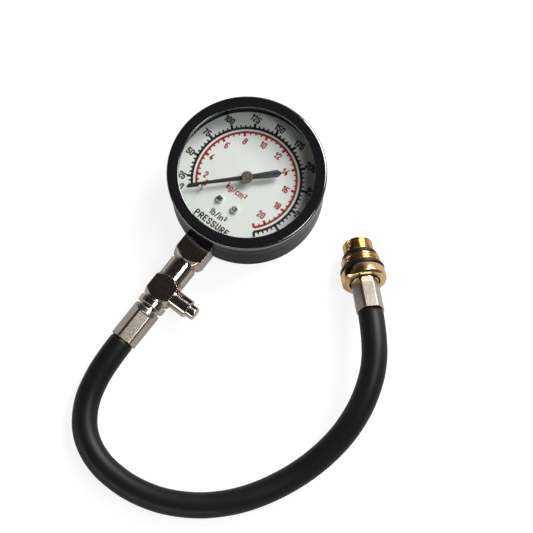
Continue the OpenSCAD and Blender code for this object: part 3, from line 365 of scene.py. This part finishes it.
HOSE_R = 5.8
HOSE_NECK, HOSE_NECK_RUN = 0.45, 0.8
HOSE_STEPS = 12
HOSE_ROUTE = np.array([
    [0, TEE_FERRULE_AT - FERRULE_L, STEM_Z],
    [0, -98, 9.8], [0.2, -104, 9.2], [0.6, -110, 8.2], [1.6, -116, 7.2], [3.2, -122, 6.4],
    [6, -127.8, 6], [10, -133.2, 6], [15, -137.4, 6], [21, -140.4, 6], [27.5, -142.2, 6],
    [34, -142.8, 6], [42, -142.5, 6], [50, -141, 6], [58, -138.4, 6], [66, -134.4, 6],
    [74, -129, 6], [81, -122.6, 6], [87, -115.6, 6], [92, -108, 6], [96.2, -100, 6.2],
    [99.6, -92, 7], [102.2, -84, 8.6], [104, -76, 10.8], [105, -68, 13.4], [105, -60, 16.2],
    [104, -52, 18.8], [102, -44.5, 20.8], [99.2, -37.5, 22], [95.4, -31, 22.4],
    [91, -25.3, 21.9], [86.7, -20.4, 21],
    ADAPTER_TIP + (ADAPTER_FERRULE_AT + FERRULE_L) * up_adapter])


def smooth_route(points, per_span):
    """A Catmull-Rom curve: each span is the cubic that passes through its two points with the
    slopes set by their neighbours; the ends lean on mirrored neighbours."""
    padded = np.concatenate([2 * points[:1] - points[1:2], points, 2 * points[-1:] - points[-2:-1]])
    before, start, end, after = (padded[i:len(padded) - 3 + i, None] for i in range(4))
    t = np.linspace(0, 1, per_span, endpoint=False)[None, :, None]
    curve = 0.5 * (2 * start + (end - before) * t
                   + (2 * before - 5 * start + 4 * end - after) * t ** 2
                   + (3 * start - before - 3 * end + after) * t ** 3)
    return np.concatenate([curve.reshape(-1, 3), points[-1:]])


def swept(path, radius, around=64):
    """A round tube carried along a path: each ring stands square to the path, with one side level."""
    heading = np.gradient(path, axis=0)
    heading /= np.linalg.norm(heading, axis=1, keepdims=True)
    level = np.cross(heading, [0, 0, 1])
    level /= np.linalg.norm(level, axis=1, keepdims=True)
    rise = np.cross(level, heading)
    angle = (np.arange(around) * 2 * np.pi / around)[None, :, None]
    ring = np.cos(angle) * level[:, None] + np.sin(angle) * rise[:, None]
    return path[:, None] + np.asarray(radius)[:, None, None] * ring


hose_path = smooth_route(HOSE_ROUTE, HOSE_STEPS)
hose_run = np.concatenate([[0], np.cumsum(np.linalg.norm(np.diff(hose_path, axis=0), axis=1))])
from_end = np.minimum(hose_run, hose_run[-1] - hose_run)
hose_radius = HOSE_R - HOSE_NECK * np.exp(-(from_end / HOSE_NECK_RUN) ** 2)
hose = piece("hose_tube", swept(hose_path, hose_radius), "gauge", hose_rubber,
             along=hose_run)
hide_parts("hose")


# Bezel: a spun ring with a fat front bead, a groove and a small second bead. Each corner has a
# radius, a height and the reach of its curve.

BEZEL = [
    (34.95, 17.8, 0.1), (35.7, 17.8, 0.2), (36, 18.1, 0.2), (36, 27.8, 0.5), (36.35, 28.3, 0.3),
    (36.35, 29, 0.3), (35.95, 29.25, 0.12), (36.5, 29.5, 0.25), (36.5, 32, 1.6),
    (31.3, 31.5, 0.4), (31, 31.2, 0.3), (31, 30, 0.1), (34.95, 30, 0.1)]
SKIRT_TOP = 28
BEZEL_STEPS, BEZEL_AROUND = 8, 256
bezel_outline = soften(np.array(BEZEL)[:, :2], np.array(BEZEL)[:, 2], BEZEL_STEPS)
bezel = piece("bezel", turned(*bezel_outline.T, BEZEL_AROUND), "gauge", bezel_enamel,
              wrap_rows=True)
bezel.data.materials.append(case_enamel)
face_middles = np.empty(len(bezel.data.polygons) * 3)
bezel.data.polygons.foreach_get("center", face_middles)
bezel.data.polygons.foreach_set(
    "material_index", (face_middles[2::3] < SKIRT_TOP * MM).astype(np.int32))
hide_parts("bezel_ring")


# Plug adapter: turned brass with two V threads, two ring grooves and a collar with a deep recess

ADAPTER_FRONT = [(4, 0, 0.15), (6.4, 0, 0.15)]
ADAPTER_GROOVE = [(7, 6.5, 0.1), (5.9, 6.5, 0.1), (5.9, 9.1, 0.1), (8.4, 9.1, 0.15)]
ADAPTER_BACK = [
    (9, 13.7, 0.1), (7.7, 13.7, 0.1), (7.7, 16.5, 0.1), (9.9, 16.5, 0.15), (10.35, 17, 0.2),
    (10.35, 20.8, 0.2), (9.45, 21.7, 0.2), (7.3, 21.7, 0.2), (6.7, 19.3, 0.1), (4.22, 19.3, 0.05),
    (4.22, 15.3, 0.05), (1.3, 15.3, 0.05), (1.3, 14.1, 0.05), (2.62, 14.1, 0.05), (2.62, 2.4, 0.05),
    (4, 2.4, 0.1)]
# Threaded lands: radius, first and last station, pitch and depth of the thread
SMALL_LAND = (7, 0.6, 6.3, 1.25, 0.78)
LARGE_LAND = (9, 9.7, 13.5, 1.5, 0.94)
THREAD_ROWS = 22
THREAD_FLAT = 0.12
THREAD_RUN_IN, THREAD_RUN_OUT = 0.5, 0.4
ADAPTER_STEPS, ADAPTER_AROUND = 3, 160


def land_rows(land):
    """Stations of a threaded land, close enough together to draw its V form."""
    r, first, last, pitch, _ = land
    count = round((last - first) / pitch * THREAD_ROWS)
    return [(r, u, 0) for u in np.linspace(first, last, count)]


def thread_cut(along, around, land):
    """Depth of a right-handed V thread: a triangle wave of the station plus the turn, with a flat
    crest and root, that fades in and out at the land's ends."""
    _, first, last, pitch, depth = land
    turn = np.arange(around) / around
    wave = 2 * np.abs((along[:, None] / pitch - turn) % 1 - 0.5)
    form = np.clip((wave - THREAD_FLAT) / (1 - 2 * THREAD_FLAT), 0, 1)
    fade = (np.clip((along - first) / THREAD_RUN_IN, 0, 1)
            * np.clip((last - along) / THREAD_RUN_OUT, 0, 1))
    return depth * form * fade[:, None]


adapter_stations = np.array(ADAPTER_FRONT + land_rows(SMALL_LAND) + ADAPTER_GROOVE
                            + land_rows(LARGE_LAND) + ADAPTER_BACK)
adapter_outline = soften(adapter_stations[:, :2], adapter_stations[:, 2], ADAPTER_STEPS)
adapter_r = np.repeat(adapter_outline[:, :1], ADAPTER_AROUND, 1)
for land in (SMALL_LAND, LARGE_LAND):
    on_land = np.abs(adapter_outline[:, 0] - land[0]) < 0.01
    adapter_r -= thread_cut(adapter_outline[:, 1], ADAPTER_AROUND, land) * on_land[:, None]
adapter_points = seated(turned(adapter_r, adapter_outline[:, 1], ADAPTER_AROUND),
                        ADAPTER_TIP, *ADAPTER)
adapter = piece("plug_adapter", adapter_points, "gauge", adapter_brass,
                wrap_rows=True, along=adapter_outline[:, 1])
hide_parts("adapter_body")


# Ferrules: round cups whose sides the crimping dies press to six flats

FERRULE_R = 6.4
FERRULE_FLAT = 5.8
FERRULE_RIM = 2.2
FERRULE_BORE_R = 5.3
FERRULE_END = 1.2
NIPPLE_R = 2.92
DIE_ROUND = 1
DIE_EDGE = 0.03
PAST_THE_DIE = 9
CUP_ROW = 0.12
CUP_STEPS, FERRULE_AROUND = 4, 240


def crimped_cup(turn):
    """A turned cup, where past the rim the radius is the lesser of the round and of six flats: a
    flat's radius is its distance from the axis over the cosine of the angle from its middle, and
    the distance falls along a quarter round into the flat."""
    cup = ([(NIPPLE_R, 0, 0.05), (FERRULE_R, 0, 0.6)]
           + [(FERRULE_R, z, 0) for z in np.arange(0.8, FERRULE_L - 0.5, CUP_ROW)]
           + [(FERRULE_R, FERRULE_L, 0.35), (FERRULE_BORE_R, FERRULE_L, 0.1),
              (FERRULE_BORE_R, FERRULE_END, 0.05), (NIPPLE_R, FERRULE_END, 0.05)])
    outline = soften(np.array(cup)[:, :2], np.array(cup)[:, 2], CUP_STEPS)
    r, z = outline[:, :1], outline[:, 1:]
    sink = np.clip((FERRULE_RIM + DIE_ROUND - z) / DIE_ROUND, 0, 1)
    flat = (FERRULE_FLAT + DIE_ROUND * (1 - np.sqrt(1 - sink ** 2))
            + PAST_THE_DIE * (z < FERRULE_RIM))
    angle = np.arange(FERRULE_AROUND) * 2 * np.pi / FERRULE_AROUND - np.radians(turn)
    away = (angle + np.pi / 6) % (np.pi / 3) - np.pi / 6
    pressed = soft_min(r, flat / np.cos(away), DIE_EDGE)
    radius = np.where(r > FERRULE_BORE_R + 0.05, pressed, r)
    return turned(radius, outline[:, 1], FERRULE_AROUND), outline[:, 1]


for name, node, turn, origin, axes in [
        ("gauge_ferrule_crimp", "gauge_ferrule", 18, (0, TEE_FERRULE_AT, STEM_Z), STEM),
        ("adapter_ferrule_crimp", "adapter_ferrule", 174,
         ADAPTER_TIP + ADAPTER_FERRULE_AT * up_adapter, ADAPTER)]:
    cup, cup_along = crimped_cup(turn)
    ferrule = piece(name, seated(cup, origin, *axes), "gauge", nickel_crimp,
                    wrap_rows=True, along=cup_along)
    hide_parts(node)


# Springs of the release valve and the valve core, each coiled between the ends of its CAD part

SPRING_WIRE_R = 0.3
SPRING_STEPS, SPRING_AROUND = 28, 12
RELEASE_COIL_R, RELEASE_TURNS, RELEASE_TRAVEL = 1.75, 6, 1.5
CORE_COIL_R, CORE_TURNS, CORE_TRAVEL = 1.6, 3, 1.2
RELEASE = ((0, 0, -1), (0, 1, 0), (1, 0, 0))


def reach(node, origin, axis):
    """The nearest and furthest that a CAD node lies along an axis, in millimetres from an origin."""
    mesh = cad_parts[node].data
    points = np.empty(len(mesh.vertices) * 3)
    mesh.vertices.foreach_get("co", points)
    lies = (points.reshape(-1, 3) / MM - origin) @ np.array(axis, float)
    return lies.min(), lies.max()


def coil(radius, low, high, turns):
    """A round wire carried along a helix about the local z, with its ends half a wire inside."""
    turn = np.linspace(0, 2 * np.pi * turns, turns * SPRING_STEPS + 1)
    rise = np.linspace(low + SPRING_WIRE_R, high - SPRING_WIRE_R, len(turn))
    helix = np.stack([radius * np.cos(turn), radius * np.sin(turn), rise], 1)
    return swept(helix, np.full(len(turn), SPRING_WIRE_R), SPRING_AROUND)


release_y = sum(corner.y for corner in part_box("release_button")) / 2 / MM
for name, node, radius, turns, origin, axes, joint, travel, held_end in [
        ("release_coil", "release_spring", RELEASE_COIL_R, RELEASE_TURNS,
         np.array([0, release_y, STEM_Z]), RELEASE, "release_press", RELEASE_TRAVEL, 0),
        ("valve_core_coil", "valve_core_spring", CORE_COIL_R, CORE_TURNS,
         ADAPTER_TIP, ADAPTER, "valve_open", CORE_TRAVEL, 1)]:
    ends = reach(node, origin, axes[2])
    spring = piece(name, seated(coil(radius, *ends, turns), origin, *axes), "gauge", spring_steel)
    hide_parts(node)
    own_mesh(spring)


# Pressure tube: a flattened tube bent to an arc

TUBE_ARC_R = 25
TUBE_Z = 8.2
TUBE_HALF, TUBE_WALL = 1.2, 0.4
TUBE_FLAT = 4
TUBE_ARC = np.radians([-15, 268])
TUBE_STEPS = 181


def flat_tube(half, around=32):
    """A flattened tube's skin along the arc: its section is a circle of radius `half`, cut across
    and drawn apart by the length of its flat sides."""
    arc = np.linspace(*TUBE_ARC, TUBE_STEPS)[:, None]
    angle = (np.arange(around) + 0.5) * 2 * np.pi / around
    radius = TUBE_ARC_R + half * np.cos(angle)
    height = TUBE_Z + half * np.sin(angle) + np.sign(np.sin(angle)) * TUBE_FLAT / 2
    return np.stack(np.broadcast_arrays(radius * np.cos(arc), radius * np.sin(arc), height), -1)


tube_walls = np.concatenate([flat_tube(TUBE_HALF), flat_tube(TUBE_HALF - TUBE_WALL)[::-1]])
tube = piece("pressure_tube", tube_walls, None, tube_bronze, wrap_rows=True)
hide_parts("bourdon_tube")
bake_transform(tube)


# Pointer: a thin blade with a long taper to its tip and a broad tail that comes to a blunt point

POINTER_HEADING = np.radians(225)
POINTER = [
    (27.6, 0, 0.15), (27.05, 0.55, 0.1), (2.2, 1.1, 0.3), (0, 1.2, 0.3), (-2.2, 1.15, 0.3),
    (-14.3, 1.75, 0.3), (-16, 0.25, 0.15), (-16, -0.25, 0.15), (-14.3, -1.75, 0.3),
    (-2.2, -1.15, 0.3), (0, -1.2, 0.3), (2.2, -1.1, 0.3), (27.05, -0.55, 0.1)]
# Heights up the blade, and the share of its width there
POINTER_EDGE = [(0, 0.95), (0.05, 1), (0.3, 1), (0.4, 0.9)]
pointer_outline = soften(np.array(POINTER)[:, :2], np.array(POINTER)[:, 2])
pointer_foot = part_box("pointer_blade")[0].z / MM
pointer_rows = np.stack([
    np.concatenate([pointer_outline * [1, width],
                    np.full((len(pointer_outline), 1), pointer_foot + z)], 1)
    for z, width in POINTER_EDGE])
heading = (np.cos(POINTER_HEADING), np.sin(POINTER_HEADING), 0)
pointer_points = seated(pointer_rows, (0, 0, 0), heading, (-heading[1], heading[0], 0), (0, 0, 1))
pointer = piece("pointer", pointer_points, "pointer", pointer_lacquer)
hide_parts("pointer_blade")


# Dial print: two scales, their numbers and the units, drawn as lines of ink

DIAL_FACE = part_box("dial_plate")[1].z / MM
INK = 0.03
PRINT_MIDDLE = np.array([-0.28, -0.21])
SCALE_START = -134.5
PSI_LAST, PSI_END, PSI_STEP = 300, 135.2, 0.939
KG_LAST, KG_END, KG_STEP = 21, 134.2, 13.37
PSI_NUMBERS_R = 27.5
KG_NUMBERS_R = 20.55
PSI_SCALE = {"major": 25, "arc": 25.27, "band": 1.2, "minor_end": 26.8, "major_end": 27.7,
             "minor_pen": 0.8, "major_pen": 1.25}
KG_SCALE = {"major": 2, "arc": 23.2, "band": 1.1, "minor_end": 21.9, "major_end": 21.2,
            "minor_pen": 0.72, "major_pen": 1.2}
START_STROKE, START_PEN = np.array([22.2, 27.8]), 1.1
ARC_STEPS = 240

# Lettering: height, width of a letter, pen and gap
FIGURES = (3.35, 1.05, 0.66, 0.16)
PSI_UNIT = (3.2, 1.1, 0.54, 0.3)
KG_UNIT = (3.2, 1.08, 0.54, 0.22)
TITLE = (3.3, 1.35, 0.66, 0.4)

# Letters by their pen lines: a width, then lines of corners on a box one wide and one high, each
# after how round its corners turn
GLYPHS = {
    "0": (1, [(0.5, (0, 0), (1, 0), (1, 1), (0, 1), (0, 0))]),
    "1": (0.45, [(0.1, (0, 0.8), (1, 1), (1, 0))]),
    "2": (1, [(0.4, (0, 0.76), (0, 1), (1, 1), (1, 0.6), (0, 0), (1, 0))]),
    "3": (1, [(0.4, (0, 0.86), (0, 1), (1, 1), (1, 0.53), (0.4, 0.53)),
              (0.4, (0.4, 0.53), (1, 0.53), (1, 0), (0, 0), (0, 0.14))]),
    "4": (1, [(0.1, (0.7, 1), (0, 0.25), (1, 0.25)), (0.1, (0.72, 0.5), (0.72, 0))]),
    "5": (1, [(0.1, (1, 1), (0, 1), (0, 0.58)),
              (0.45, (0, 0.6), (1, 0.6), (1, 0), (0, 0), (0, 0.2))]),
    "6": (1, [(0.5, (1, 1), (0, 1), (0, 0), (1, 0), (1, 0.57), (0, 0.57))]),
    "7": (1, [(0.1, (0, 1), (1, 1), (0.35, 0))]),
    "8": (1, [(0.45, (0, 0), (1, 0), (1, 0.53), (0, 0.53), (0, 0)),
              (0.45, (0, 0.53), (1, 0.53), (1, 1), (0, 1), (0, 0.53))]),
    "E": (0.9, [(0.1, (1, 1), (0, 1), (0, 0), (1, 0)), (0.1, (0.2, 0.53), (0.8, 0.53))]),
    "P": (1, [(0.4, (0, 0), (0, 1), (1, 1), (1, 0.45), (0.2, 0.45))]),
    "R": (1, [(0.4, (0, 0), (0, 1), (1, 1), (1, 0.47), (0.2, 0.47)), (0.1, (0.5, 0.4), (1, 0))]),
    "S": (1, [(0.4, (1, 0.86), (1, 1), (0, 1), (0, 0.53), (1, 0.47), (1, 0), (0, 0), (0, 0.14))]),
    "U": (1, [(0.5, (0, 1), (0, 0), (1, 0), (1, 1))]),
    "b": (1, [(0.4, (0, 1), (0, 0), (1, 0), (1, 0.66), (0.2, 0.66))]),
    "c": (0.9, [(0.45, (1, 0.6), (1, 0.66), (0, 0.66), (0, 0), (1, 0), (1, 0.06))]),
    "g": (1, [(0.4, (0.8, 0), (0, 0), (0, 0.66), (1, 0.66), (1, -0.3), (0.1, -0.3))]),
    "i": (0, [(0.1, (0, 0), (0, 0.66)), (0.1, (0, 0.94), (0, 0.98))]),
    "k": (0.9, [(0.1, (0, 0), (0, 1)), (0.1, (0.9, 0.66), (0.2, 0.33)), (0.1, (0.5, 0.4), (1, 0))]),
    "l": (0, [(0.1, (0, 0), (0, 1))]),
    "m": (1.7, [(0.4, (0, 0), (0, 0.66), (1, 0.66), (1, 0)), (0.1, (0.5, 0.5), (0.5, 0))]),
    "n": (1, [(0.4, (0, 0), (0, 0.66), (1, 0.66), (1, 0))]),
    "/": (0.8, [(0.1, (0, 0), (1, 1))]),
    "\u00b2": (0.7, [(0.25, (0, 1), (1, 1), (1, 0.76), (0, 0.42), (1, 0.42))])}


def clock(angle, radius):
    """Points on the dial by angle, clockwise from its top in degrees, and radius."""
    angle = np.radians(np.asarray(angle, float))
    return PRINT_MIDDLE + np.stack([radius * np.sin(angle), radius * np.cos(angle)], -1)


def pen_line(corners, bend, pen):
    """A line through corners that turn along quadratic curves reaching `bend` to each side. It is
    closed where its last corner is its first, and else runs on at each end by half the pen."""
    if np.allclose(corners[0], corners[-1]):
        line = soften(corners[:-1], bend)
        line = np.concatenate([line, line[:1]])
    else:
        lead, tail = corners[0] - corners[1], corners[-1] - corners[-2]
        corners = np.concatenate([
            [corners[0] + lead / np.linalg.norm(lead) * pen / 2], corners[1:-1],
            [corners[-1] + tail / np.linalg.norm(tail) * pen / 2]])
        line = soften(corners, np.where(np.arange(len(corners)) % (len(corners) - 1), bend, 0))
    moved = np.linalg.norm(np.diff(line, axis=0), axis=1) > MERGE
    return line[np.concatenate([[True], moved])]


def word_width(text, wide, pen, gap):
    """How long a word is between the outer edges of its lines."""
    return sum(GLYPHS[letter][0] * wide + pen for letter in text) + gap * (len(text) - 1)


def word(text, middle, tall, wide, pen, gap):
    """The pen lines of a word about its middle: each letter's box is scaled to its width and to the
    word's height, less the pen."""
    left, foot = np.array(middle) - [word_width(text, wide, pen, gap) / 2, tall / 2]
    lines = []
    for letter in text:
        share, strokes = GLYPHS[letter]
        box = np.array([max(share, 0.01) * wide, tall - pen])
        corner = np.array([left + pen / 2, foot + pen / 2])
        lines += [(pen_line(np.array(corners) * box + corner, bend * wide, pen), pen)
                  for bend, *corners in strokes]
        left += share * wide + pen + gap
    return lines


def number(count, angle, radius, outward):
    """A number beside its stroke: upright, with the side of its box that faces the scale at a
    radius, and the rest of it outward of that, or inward with -1."""
    wide = word_width(str(count), *FIGURES[1:])
    turn = np.radians(angle)
    support = (abs(np.sin(turn)) * wide + abs(np.cos(turn)) * FIGURES[0]) / 2
    return word(str(count), clock(angle, radius + outward * support), *FIGURES)


def scale_lines(counts, angles, major, arc, band, minor_end, major_end, minor_pen, major_pen):
    """A scale's arc, of a radius and a width, and its radial strokes, from the arc to their ends;
    the last one is as bold as those at whole majors."""
    lines = [(clock(np.linspace(SCALE_START, angles[-1], ARC_STEPS), arc), band)]
    for count, angle in zip(counts, angles):
        bold = np.isclose(count % major, 0) or count == counts[-1]
        ends = [arc, major_end if bold else minor_end]
        lines.append((clock([angle, angle], np.array(ends)), major_pen if bold else minor_pen))
    return lines


def printed(name, lines, material):
    """Lines of ink as one thin skin: each point of a line gives four corners, half the line's width
    to each side, square to its heading, on the dial and an ink's height above it."""
    corners, faces, count = [], [], 0
    for line, pen in lines:
        closed = np.allclose(line[0], line[-1])
        if closed:
            line = line[:-1]
            heading = np.roll(line, -1, 0) - np.roll(line, 1, 0)
        else:
            heading = np.gradient(line, axis=0)
        heading /= np.linalg.norm(heading, axis=1, keepdims=True)
        side = heading[:, ::-1] * [pen / 2, -pen / 2]
        flat = np.stack([line - side, line + side, line + side, line - side], 1)
        height = np.broadcast_to([[[0], [0], [INK], [INK]]], flat.shape[:2] + (1,)) + DIAL_FACE
        corners.append(np.concatenate([flat, height], -1).reshape(-1, 3))
        index = count + np.arange(4 * len(line)).reshape(-1, 4)
        if closed:
            index = np.concatenate([index, index[:1]])
        else:
            faces.append(index[[0, -1]])
        near = np.roll(index, -1, 1)
        faces.append(np.stack([index[:-1], near[:-1], near[1:], index[1:]], -1).reshape(-1, 4))
        count += 4 * len(line)
    return skin(name, np.concatenate(corners), np.concatenate(faces), "gauge", material)


psi = np.arange(15, PSI_LAST + 1, 5)
kg = np.arange(1.5, KG_LAST + 0.1, 0.5)
psi_at = PSI_END - (PSI_LAST - psi) * PSI_STEP
kg_at = KG_END - (KG_LAST - kg) * KG_STEP
psi_lines = scale_lines(psi, psi_at, **PSI_SCALE)
kg_lines = scale_lines(kg, kg_at, **KG_SCALE)
for count, angle in zip(psi, psi_at):
    psi_lines += number(count, angle, PSI_NUMBERS_R, 1) if count % PSI_SCALE["major"] == 0 else []
for count, angle in zip(kg, kg_at):
    kg_lines += number(round(count), angle, KG_NUMBERS_R, -1) if count % KG_SCALE["major"] == 0 else []
psi_lines += word("0", (-22.25, -21), *FIGURES)
psi_lines += word("lb/in\u00b2", (0.03, -21.68), *PSI_UNIT)
psi_lines += word("PRESSURE", (-0.48, -26.25), *TITLE)
psi_lines.append((clock([SCALE_START] * 2, START_STROKE), START_PEN))
kg_lines += word("0", (-14.25, -12.75), *FIGURES)
kg_lines += word("kg/cm\u00b2", (-0.38, -7.5), *KG_UNIT)
printed("psi_print", psi_lines, black_ink)
printed("kg_print", kg_lines, red_ink)


# Floor and light: white paper in a dim room with a pale far wall, a large soft lamp before that
# wall, a smaller one high on the right and a long low one in front

FLOOR_HALF = 8.0
FLOOR_Z = -0.1 * MM
PAPER_IN_METAL = 0.3
PAPER_BOUNCE, PAPER_SHADE, PAPER_GLOW = 0.4, 0.25, 0.85
WALL_FOOT, WALL_TOP, FAR_WALL = 0.22, 0.03, 0.6

floor_mesh = bpy.data.meshes.new("floor")
floor_mesh.from_pydata(
    [(-FLOOR_HALF, -FLOOR_HALF, FLOOR_Z), (FLOOR_HALF, -FLOOR_HALF, FLOOR_Z),
     (FLOOR_HALF, FLOOR_HALF, FLOOR_Z), (-FLOOR_HALF, FLOOR_HALF, FLOOR_Z)], [], [(0, 1, 2, 3)])
floor = bpy.data.objects.new("floor", floor_mesh)
bpy.context.scene.collection.objects.link(floor)

# Matt white paper: white to the eye, paler than the room in metal, with the object's soft shadow on it
paper, tree = blank("matt_white_paper")
path = add(tree, "ShaderNodeLightPath").outputs
mirrored = add(tree, "ShaderNodeMath", {0: path["Is Glossy Ray"], 1: PAPER_IN_METAL},
               operation="MULTIPLY").outputs[0]
seen = add(tree, "ShaderNodeMath", {0: path["Is Camera Ray"], 1: mirrored},
           operation="MAXIMUM").outputs[0]
seen = add(tree, "ShaderNodeMath", {0: seen, 1: path["Is Transmission Ray"]},
           operation="MAXIMUM").outputs[0]
bounce = add(tree, "ShaderNodeBsdfDiffuse", {"Color": (*[PAPER_BOUNCE] * 3, 1)}).outputs[0]
shadowed = add(tree, "ShaderNodeBsdfDiffuse", {"Color": (*[PAPER_SHADE] * 3, 1)}).outputs[0]
glow = add(tree, "ShaderNodeEmission", {"Color": (1, 1, 1, 1), "Strength": PAPER_GLOW}).outputs[0]
sheet = add(tree, "ShaderNodeAddShader", {0: shadowed, 1: glow}).outputs[0]
add(tree, "ShaderNodeOutputMaterial", {
    "Surface": add(tree, "ShaderNodeMixShader", {0: seen, 1: bounce, 2: sheet}).outputs[0]})
floor_mesh.materials.append(paper)

world = bpy.data.worlds.new("room")
world.use_nodes = True
world.node_tree.nodes.clear()
tree = world.node_tree
lean = add(tree, "ShaderNodeSeparateXYZ", {
    0: add(tree, "ShaderNodeTexCoord").outputs["Generated"]}).outputs
walls = add(tree, "ShaderNodeMapRange", {
    "Value": lean["Z"], "From Min": 0.0, "From Max": 0.6,
    "To Min": WALL_FOOT, "To Max": WALL_TOP}).outputs[0]
far_wall = add(tree, "ShaderNodeMapRange", {
    "Value": lean["Y"], "From Min": 0.55, "From Max": 0.95,
    "To Min": 0.0, "To Max": FAR_WALL}).outputs[0]
level = add(tree, "ShaderNodeMath", {0: walls, 1: far_wall}, operation="ADD").outputs[0]
add(tree, "ShaderNodeOutputWorld", {
    "Surface": add(tree, "ShaderNodeBackground", {
        "Color": (1, 1, 1, 1), "Strength": level}).outputs[0]})
bpy.context.scene.world = world


def lamp(name, place, target, width, height, power):
    """A soft oblong lamp at a place in millimetres, facing a target."""
    data = bpy.data.lights.new(name, "AREA")
    data.shape = "RECTANGLE"
    data.size, data.size_y, data.energy = width * MM, height * MM, power
    made = bpy.data.objects.new(name, data)
    back = np.asarray(place, float) - target
    back /= np.linalg.norm(back)
    side = np.cross([0, 0, 1], back)
    side /= np.linalg.norm(side)
    made.matrix_world = Matrix([
        [*row, at] for row, at in zip(np.stack([side, np.cross(back, side), back], 1),
                                      np.asarray(place, float) * MM)] + [[0, 0, 0, 1]])
    bpy.context.scene.collection.objects.link(made)


lamp("key_lamp", (140, 630, 600), (20, -40, 0), 460, 460, 10.6)
lamp("side_lamp", (300, 70, 560), (20, -60, 0), 200, 200, 1.3)
lamp("front_lamp", (20, -640, 210), (20, -40, 0), 1400, 110, 2.6)
